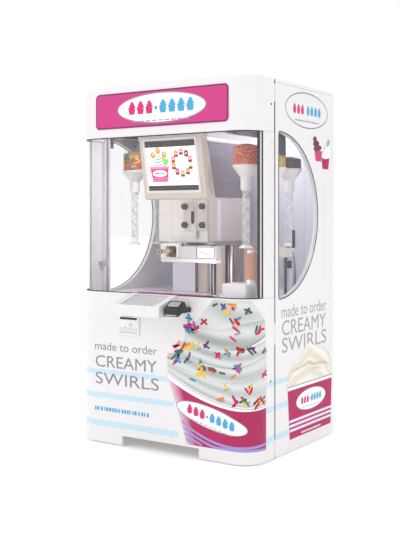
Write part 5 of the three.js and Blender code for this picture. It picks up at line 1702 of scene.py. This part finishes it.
def jar(i):
    node = f"topping_jar_{i}"
    lo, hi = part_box(node)
    x, y = (lo.x + hi.x) / 2, (lo.y + hi.y) / 2
    at = (x, y, 0)
    body = lathe([(0.0715, 1.541), (0.0715, 1.7538), (0.0745, 1.7543), (0.0815, 1.7550), (0.0815, 1.7598),
                  (0.0700, 1.7600), (0.0690, 1.7580), (0.0687, 1.541)], at, "z", 64)
    place(f"jar_{i}_body", body, CLEAR, "cabinet", [node])
    funnel = lathe([(0.0718, 1.5400), (0.0722, 1.5430), (0.0722, 1.5490), (0.0717, 1.5490), (0.0684, 1.5395),
                    (0.0262, 1.4800), (0.0262, 1.4200), (0.0212, 1.4172), (0.0212, 1.4100), (0.0222, 1.4100),
                    (0.0228, 1.4160), (0.0290, 1.4180), (0.0292, 1.4790), (0.0300, 1.4820)], at, "z", 64)
    place(f"jar_{i}_funnel", funnel, FROST, "cabinet")
    tube = lathe([(0.0210, 1.1250), (0.0210, 1.4092), (0.0181, 1.4092), (0.0181, 1.1250)], at, "z", 48)
    place(f"jar_{i}_tube", tube, TUBE, "cabinet")
    foot = lathe([(0.0181, 1.1248), (0.0181, 1.1220), (0.0365, 1.1083), (0.0405, 1.1080), (0.0408, 1.1100),
                  (0.0375, 1.1112), (0.0212, 1.1248)], at, "z", 48)
    place(f"jar_{i}_foot", foot, FROST, "cabinet")
    name, level, colors, cells = JAR_CONTENTS[i]
    rng = random.Random(i)
    mat = granules(name, colors, cells)
    heap = [(0.0, level + 0.010), (0.020, level + 0.008), (0.045, level + 0.002), (0.0675, level - 0.004),
            (0.0675, 1.5425), (0.0440, 1.510), (0.0240, 1.484), (0.0, 1.484)]
    bm = lathe(heap, at, "z", 48)
    bmesh.ops.subdivide_edges(bm, edges=[e for e in bm.edges if e.calc_length() > 0.02], cuts=3,
                              use_grid_fill=True)
    for v in bm.verts:
        if v.co.z > level - 0.006:
            v.co.z += rng.uniform(-0.002, 0.003)
    place(f"jar_{i}_filling", bm, mat, "cabinet", smooth=60)
    lid = lathe([(0.0, 1.779), (0.050, 1.778), (0.0685, 1.775), (0.0780, 1.768), (0.0800, 1.7640),
                 (0.0800, 1.7602),
                 (0.0, 1.7602)], at, "z", 64)
    for k in range(24):
        a = 2 * math.pi * k / 24
        merge(lid, pin((x + 0.0795 * math.cos(a), y + 0.0795 * math.sin(a), 0), "z", 0.0022, 1.7604, 1.7700,
                       0.0008, 8))
    place(f"jar_{i}_lid", lid, WHITE, "cabinet")
    auger(i, x, y)


def auger(i, x, y):
    lo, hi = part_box(f"topping_auger_{i}")
    bottom, top, pitch = lo.z, 1.472, 0.068
    turns = (top - bottom - 0.007) / pitch
    steps = round(turns * 28)
    coil = ((0.0164, 0.0), (0.0164, 0.0068), (0.0128, 0.0068), (0.0128, 0.0))
    sections = []
    for k in range(steps + 1):
        a = 2 * math.pi * turns * k / steps
        z = bottom + (top - bottom - 0.007) * k / steps
        sections.append([(x + r * math.cos(a), y + r * math.sin(a), z + up) for r, up in coil])
    bm = strip(sections, 0.0005, 2, 60)
    a = 2 * math.pi * turns
    merge(bm, sweep([(x, y, top - 0.007), (x + 0.009 * math.cos(a), y + 0.009 * math.sin(a), top - 0.006),
                     (x + 0.0145 * math.cos(a), y + 0.0145 * math.sin(a), top - 0.004)], 0.0030, 12))
    merge(bm, pin((x, y, 0), "z", 0.0039, top - 0.012, hi.z, 0.001, 20))
    place(f"auger_coil_{i}", bm, WHITE, f"topping_auger_{i}", [f"topping_auger_{i}"])


def racks():
    for tag in ("left", "right"):
        lo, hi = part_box(f"topping_rack_{tag}")
        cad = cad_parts[f"topping_rack_{tag}"]
        cad.data.materials.clear()
        cad.data.materials.append(GREY)
        sign = 1 if tag == "right" else -1
        x0, x1 = sorted((sign * 0.338, sign * 0.350))
        rail = block((x0, lo.y + 0.004, lo.z - 0.026), (x1, hi.y - 0.004, lo.z - 0.0004), 0.002)
        place(f"rack_rail_{tag}", rail, GREY, "cabinet")
        hooks = bmesh.new()
        for d in (0.28, 0.50, 0.74):
            a, b = sorted((sign * (INNER - 0.006), sign * (INNER - 0.0004)))
            merge(hooks, block((a, depth(d) - 0.015, lo.z - 0.060), (b, depth(d) + 0.015, lo.z - 0.0004),
                               0.0015))
            for dz in (0.018, 0.044):
                merge(hooks, pin((sign * (INNER - 0.006), depth(d), lo.z - dz), "x", 0.004,
                                 -0.003 if sign > 0 else -0.001,
                                 0.001 if sign > 0 else 0.003, 0.0012, 16))
        place(f"rack_brackets_{tag}", hooks, STEEL, "cabinet")


# ------------------------------------------------------------------ cup handling

def lift():
    lo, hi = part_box("lift_mast")
    mast = rounded((lo.x, lo.y), (hi.x, hi.y), 0.003, 3)
    bm = prism(mast, "z", lo.z, hi.z, 0.0012, 2)
    place("mast_profile", bm, MAST, "cabinet", ["lift_mast"])
    grooves = bmesh.new()
    mid = (lo.x + hi.x) / 2
    for dx in (-0.009, 0.009):
        merge(grooves, block((mid + dx - 0.001, lo.y - 0.0005, lo.z + 0.004),
                             (mid + dx + 0.001, lo.y + 0.0006, hi.z - 0.004),
                             0.0002, 1))
    place("mast_grooves", grooves, GREY, "cabinet")
    foot = ringed(rounded((lo.x - 0.018, lo.y - 0.018), (hi.x + 0.018, hi.y + 0.018), 0.006, 4),
                  rounded((lo.x - 0.0006, lo.y - 0.0006), (hi.x + 0.0006, hi.y + 0.0006), 0.0035, 4), "z",
                  DECK + 0.0004, DECK + 0.010, 0.001)
    place("mast_foot", foot, STEEL, "cabinet")

    clo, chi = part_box("lift_carriage")
    y0, y1 = clo.y, chi.y
    m0, m1 = lo.x - 0.0006, hi.x + 0.0006
    outer = rounded((0.084, y0), (chi.x, y1), 0.014, 6)
    inner = rounded((m0, lo.y - 0.0006), (m1, hi.y + 0.0006), 0.0035, 6)
    sleeve = ringed(outer, inner, "z", 1.0401, 1.112, 0.0025, 3)
    place("carriage_sleeve", sleeve, SLEEVE, "lift_carriage", ["lift_carriage"])
    face_ring = [rounded((0.090, 1.044), (chi.x - 0.006, 1.108), 0.012, 6),
                 rounded((0.0925, 1.0465), (chi.x - 0.0085, 1.1055), 0.0105, 6)]
    shapes = [(face_ring, 1, RUBBER), (face_ring[1:], 0, WHITE)]
    shapes += [([rounded((0.110, 1.076), (0.150, 1.079), 0.001, 3)], 2, INK_MID),
               ([rounded((0.135, 1.066), (0.183, 1.069), 0.001, 3)], 2, INK_MID)]
    prints("carriage_face", shapes, lambda a, b, o=0.0: Vector((a, y0 - 0.0002 - o, b)), "lift_carriage")
    arm = block((-0.0358, y0 + 0.006, 1.0402), (0.0835, y1 - 0.006, 1.108), 0.004, 3)
    place("carriage_arm", arm, SLEEVE, "lift_carriage")
    tray = block((clo.x, y0 + 0.002, clo.z), (0.213, y1 - 0.002, 1.0399), 0.006, 4)
    place("carriage_tray", tray, WHITE, "lift_carriage")

    rlo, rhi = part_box("transfer_rod")
    rx, rz, r = (rlo.x + rhi.x) / 2, (rlo.z + rhi.z) / 2, 0.0137
    floor_y = y0 + 0.034
    edge = rounded((clo.x, 1.0402), (-0.036, chi.z), 0.008, 8)
    recess = rounded((-0.121, 1.046), (-0.048, 1.109), 0.008, 8)
    place("rod_block", ringed(edge, recess, "y", y0, floor_y, 0.0015), WHITE, "lift_carriage")
    circle = circle_like(edge, rx, rz, r)
    place("rod_block_rear", ringed(edge, circle, "y", floor_y + 0.0002, y1, 0.0008), RECESS, "lift_carriage")
    length = rhi.y - rlo.y
    rod = lathe([(0.0, 0.030), (0.0070, 0.030), (0.0070, 0.0015), (0.0082, 0.0), (0.0115, 0.0),
                 (0.0129, 0.002),
                 (0.0129, length - 0.003), (0.0110, length), (0.0, length)], (rx, rlo.y, rz), "y", 56)
    bmesh.ops.recalc_face_normals(rod, faces=rod.faces)
    place("rod_body", rod, BRASS, "transfer_rod", ["transfer_rod"])
    bore = lathe([(0.0, 0.0), (0.0068, 0.0), (0.0068, 0.0012), (0.0, 0.0012)], (rx, rlo.y + 0.0282, rz), "y",
                 32)
    place("rod_bore_plug", bore, BLACK, "transfer_rod")
    cap = lathe([(0.0130, 0.003), (0.0134, 0.0034), (0.0134, 0.0100), (0.0130, 0.0104)], (rx, rlo.y, rz), "y",
                48)
    place("rod_tip_ring", cap, RUBBER, "transfer_rod")


def cups():
    lo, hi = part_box("cup_magazine")
    cx, cy = 0.262, depth(0.520)
    z0, z1 = lo.z + 0.035, hi.z
    tube = lathe([(0.0352, z0), (0.0378, z0), (0.0378, z1), (0.0352, z1)], (cx, cy, 0), "z", 64)
    bevel_sharp(tube, 0.0007, 2, 50)
    place("magazine_tube", tube, KRAFT, "cabinet", ["cup_magazine"])
    stack = bmesh.new()
    for k in range(11):
        z = z0 + 0.020 + 0.018 * k
        merge(stack, lathe([(0.0250, z), (0.0338, z + 0.0150), (0.0346, z + 0.0160), (0.0342, z + 0.0174),
                            (0.0330, z + 0.0168), (0.0240, z + 0.0020)], (cx, cy, 0), "z", 40))
    place("magazine_cups", stack, WHITE, "cabinet")
    bands = bmesh.new()
    for z in (z0 + 0.03, z1 - 0.04):
        merge(bands, lathe([(0.0380, z), (0.0396, z), (0.0396, z + 0.016), (0.0380, z + 0.016)], (cx, cy, 0),
                           "z", 56))
    place("magazine_clips", bands, STEEL, "cabinet")
    legs = bmesh.new()
    for a, b in ((cx - 0.030, cx - 0.018), (cx + 0.018, cx + 0.030)):
        merge(legs, block((a, cy + 0.0385, DECK + 0.0004), (b, cy + 0.060, 1.000), 0.002))
    merge(legs, block((cx - 0.034, cy + 0.0385, DECK + 0.0004), (cx + 0.034, cy + 0.064, DECK + 0.006),
                      0.0015))
    place("magazine_legs", legs, STEEL, "cabinet")

    lo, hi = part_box("cup_dispenser")
    base = block((lo.x, lo.y, 1.030), (hi.x, hi.y, 1.0620), 0.004, 3)
    place("dispenser_bench", base, BEIGE, "cabinet", ["cup_dispenser"])
    head = block((lo.x + 0.010, lo.y + 0.008, 1.0622), (hi.x - 0.030, hi.y - 0.020, 1.100), 0.004, 3)
    place("dispenser_head", head, SLEEVE, "cabinet")
    parts = bmesh.new()
    for k in range(4):
        merge(parts, block((lo.x + 0.018 + 0.020 * k, lo.y + 0.0070, 1.068),
                           (lo.x + 0.030 + 0.020 * k, lo.y + 0.0100, 1.094),
                           0.001))
    merge(parts, pin((hi.x - 0.040, 0, 1.081), "y", 0.008, lo.y + 0.004, lo.y + 0.012, 0.001, 24))
    place("dispenser_keys", parts, BLACK, "cabinet")
    route = curve_points(((hi.x - 0.030, lo.y + 0.020, 1.085), (hi.x - 0.010, lo.y + 0.004, 1.105),
                          (hi.x + 0.012, lo.y + 0.010, 1.085), (hi.x + 0.014, lo.y + 0.030, 1.040),
                          (hi.x + 0.010, lo.y + 0.050, 0.980), (hi.x + 0.006, lo.y + 0.060, 0.900),
                          (hi.x + 0.006, lo.y + 0.060, DECK + 0.001)))
    place("dispenser_cable", sweep(route, 0.0025, 10), BLACK, "cabinet")
    leg = block((hi.x - 0.020, lo.y + 0.040, DECK + 0.0004), (hi.x, hi.y, 1.0298), 0.003)
    place("dispenser_leg", leg, SLEEVE, "cabinet")


def side_instrument():
    """Small fill-level sensor beside the right-hand window."""
    x0, x1, y0, y1 = 0.462, 0.514, 0.050, 0.195
    body = block((x0, y0, 1.050), (x1, y1, 1.100), 0.005, 3)
    place("level_sensor_box", body, BEIGE, "cabinet")
    stem = block((x1 - 0.012, y1 - 0.010, 1.1002), (x1, y1 + 0.008, 1.200), 0.002)
    merge(stem, block((x0 + 0.016, y1 - 0.062, DECK + 0.0004), (x0 + 0.030, y1 - 0.048, 1.0498), 0.002))
    place("level_sensor_stem", stem, BLACK, "cabinet")
    knob = lathe([(0.0, -0.064), (0.012, -0.064), (0.0135, -0.060), (0.0115, -0.040), (0.0135, -0.028),
                  (0.0135, -0.024),
                  (0.0, -0.024)], (x0 + 0.026, y1 - 0.016, 1.050), "z", 32)
    merge(knob, pin((x0 + 0.026, y1 - 0.016, 0), "z", 0.004, 1.025, 1.0502, 0.0005, 16))
    place("level_sensor_knob", knob, BLACK, "cabinet")


# ------------------------------------------------------------------ cooling unit

def cooling():
    lo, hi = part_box("compressor")
    cx, cy = -0.260, depth(0.560)
    shell = lathe([(0.0, 0.1145), (0.080, 0.1145), (0.0925, 0.128), (0.0945, 0.150), (0.0945, 0.205),
                   (0.0948, 0.212),
                   (0.0945, 0.220), (0.0930, 0.268), (0.080, 0.302), (0.050, 0.322), (0.020, 0.3295),
                   (0.0, 0.330)],
                  (cx, cy, 0), "z", 56)
    place("compressor_dome", shell, BLACK_GLOSS, "cabinet", ["compressor"])
    plate = block((lo.x, lo.y, 0.1003), (hi.x, hi.y, 0.114), 0.003)
    place("compressor_plate", plate, ENAMEL, "cabinet")
    pipe = curve_points(((cx + 0.060, cy, 0.312), (cx + 0.085, cy - 0.01, 0.360),
                         (cx + 0.12, cy + 0.03, 0.420), (cx + 0.13, cy + 0.09, 0.560),
                         (cx + 0.13, cy + 0.10, 0.700), (cx + 0.13, cy + 0.10, 0.815)))
    place("suction_pipe", sweep(pipe, 0.006, 12), COPPER, "cabinet")

    lo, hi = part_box("fan_shroud")
    fx, fz = 0.0, 0.330
    square = rounded((lo.x, fz - 0.150), (hi.x, fz + 0.150), 0.012, 15)
    circle = circle_like(square, fx, fz, 0.132)
    bm = ringed(square, circle, "y", lo.y, hi.y, 0.0015)
    merge(bm, block((lo.x, lo.y, lo.z), (hi.x, hi.y, fz - 0.1502), 0.002))
    merge(bm, pin((fx, 0, fz), "y", 0.030, lo.y, lo.y + 0.010, 0.0015, 36))
    for k in range(4):
        a = math.pi / 4 + math.pi / 2 * k
        spoke = [(fx + r * math.cos(a), lo.y + 0.004, fz + r * math.sin(a)) for r in (0.026, 0.08, 0.138)]
        merge(bm, sweep(spoke, 0.004, 10))
    place("fan_frame", bm, ENAMEL, "cabinet", ["fan_shroud"])
    flo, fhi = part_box("condenser_fan")
    hub = pin((fx, 0, fz), "y", 0.0278, flo.y, fhi.y - 0.0005, 0.004, 40)
    mid_y = (flo.y + fhi.y) / 2
    for k in range(5):
        a = 2 * math.pi * k / 5
        sections = []
        for i in range(9):
            r = 0.026 + 0.094 * i / 8
            twist = 0.62 - 0.32 * i / 8
            half = 0.020 + 0.008 * math.sin(math.pi * (0.15 + 0.7 * i / 8))
            section = []
            for side, thick in ((-1, 0.0012), (1, 0.0012), (1, -0.0012), (-1, -0.0012)):
                w = side * half
                u = w * math.cos(twist)
                y = mid_y + w * math.sin(twist) * 0.55 + thick
                section.append((fx + r * math.cos(a) - u * math.sin(a), y,
                                fz + r * math.sin(a) + u * math.cos(a)))
            sections.append(section)
        merge(hub, strip(sections, 0.0004, 1, 60))
    place("fan_rotor", hub, BLACK, "condenser_fan", ["condenser_fan"])
    fins = bmesh.new()
    for k in range(44):
        x = -0.14 + 0.28 * k / 43
        merge(fins, block((x - 0.0006, lo.y - 0.045, fz - 0.135),
                          (x + 0.0006, lo.y - 0.004, fz + 0.135), 0, 1))
    for k in range(5):
        z = fz - 0.11 + 0.055 * k
        merge(fins, pin((0, lo.y - 0.025, z), "x", 0.0045, -0.148, 0.148, 0.001, 16))
    place("condenser_fins", fins, STEEL, "cabinet")


# ------------------------------------------------------------------ stage

def studio():
    floor = bmesh.new()
    reach = 60.0
    corners = ((-reach, -reach), (reach, -reach), (reach, reach), (-reach, reach))
    floor.faces.new([floor.verts.new((x, y, 0.0)) for x, y in corners])
    mesh = bpy.data.meshes.new("studio_floor")
    floor.to_mesh(mesh)
    floor.free()
    paper = surface("studio_paper", (0.94, 0.94, 0.94), 0.9, vary=0.005, cloud=0.5, specular=0.1)
    paper.node_tree.nodes["Principled BSDF"].inputs["Emission Color"].default_value = (1, 1, 1, 1)
    paper.node_tree.nodes["Principled BSDF"].inputs["Emission Strength"].default_value = 0.22
    mesh.materials.append(paper)
    obj = bpy.data.objects.new("studio_floor", mesh)
    scene.collection.objects.link(obj)

    world = bpy.data.worlds.new("studio")
    world.use_nodes = True
    world.node_tree.nodes["Background"].inputs["Color"].default_value = (1.0, 1.0, 1.0, 1)
    world.node_tree.nodes["Background"].inputs["Strength"].default_value = 1.0
    scene.world = world
    for name, where, aim, size, power, color in (
            ("key", (-3.2, -4.2, 4.2), (0, 0, 1.0), 3.2, 44, (1.0, 0.98, 0.96)),
            ("fill", (4.6, -2.2, 2.6), (0, 0, 1.0), 3.0, 15, (0.97, 0.98, 1.0)),
            ("top", (0.4, 0.2, 5.2), (0, 0, 0), 3.5, 24, (1.0, 1.0, 1.0)),
            ("chamber_front", (0.0, -0.12, 1.93), (0.0, 0.0, 1.2), 0.22, 4.5, (1.0, 0.98, 1.0)),
            ("chamber_low", (0.24, -0.26, 0.93), (0.0, 0.25, 0.93), 0.16, 0.5, (1.0, 0.96, 0.97)),
            ("chamber_rear", (0.28, 0.34, 1.92), (0.2, 0.2, 0.9), 0.26, 3.2, (0.85, 0.91, 1.0))):
        light = bpy.data.lights.new(name, "AREA")
        light.size = size
        light.energy = power
        light.color = color
        lamp = bpy.data.objects.new(name, light)
        lamp.location = where
        lamp.rotation_mode = "QUATERNION"
        lamp.rotation_quaternion = (Vector(aim) - Vector(where)).to_track_quat("-Z", "Y")
        scene.collection.objects.link(lamp)

    cam = bpy.data.cameras.new("camera")
    cam.lens = 62.33
    cam.sensor_width = 36
    cam.shift_y = -0.0918
    cam.clip_end = 60
    scene.view_settings.view_transform = "Standard"
    eye = bpy.data.objects.new("camera", cam)
    eye.location = (2.9412, -4.4005, 1.2697)
    eye.rotation_euler = (math.radians(90), 0, math.radians(33.70))
    scene.collection.objects.link(eye)
    scene.camera = eye


door_shells()
hinges()
sign()
door_prints()
cabinet()
for sign_x, side_name in ((1, "right"), (-1, "left")):
    side_prints(sign_x, side_name)
console()
note_unit()
door_lock()
card_reader()
display()
payment_box()
freezer()
draw_head()
racks()
for number in range(1, 6):
    jar(number)
lift()
cups()
side_instrument()
cooling()
studio()
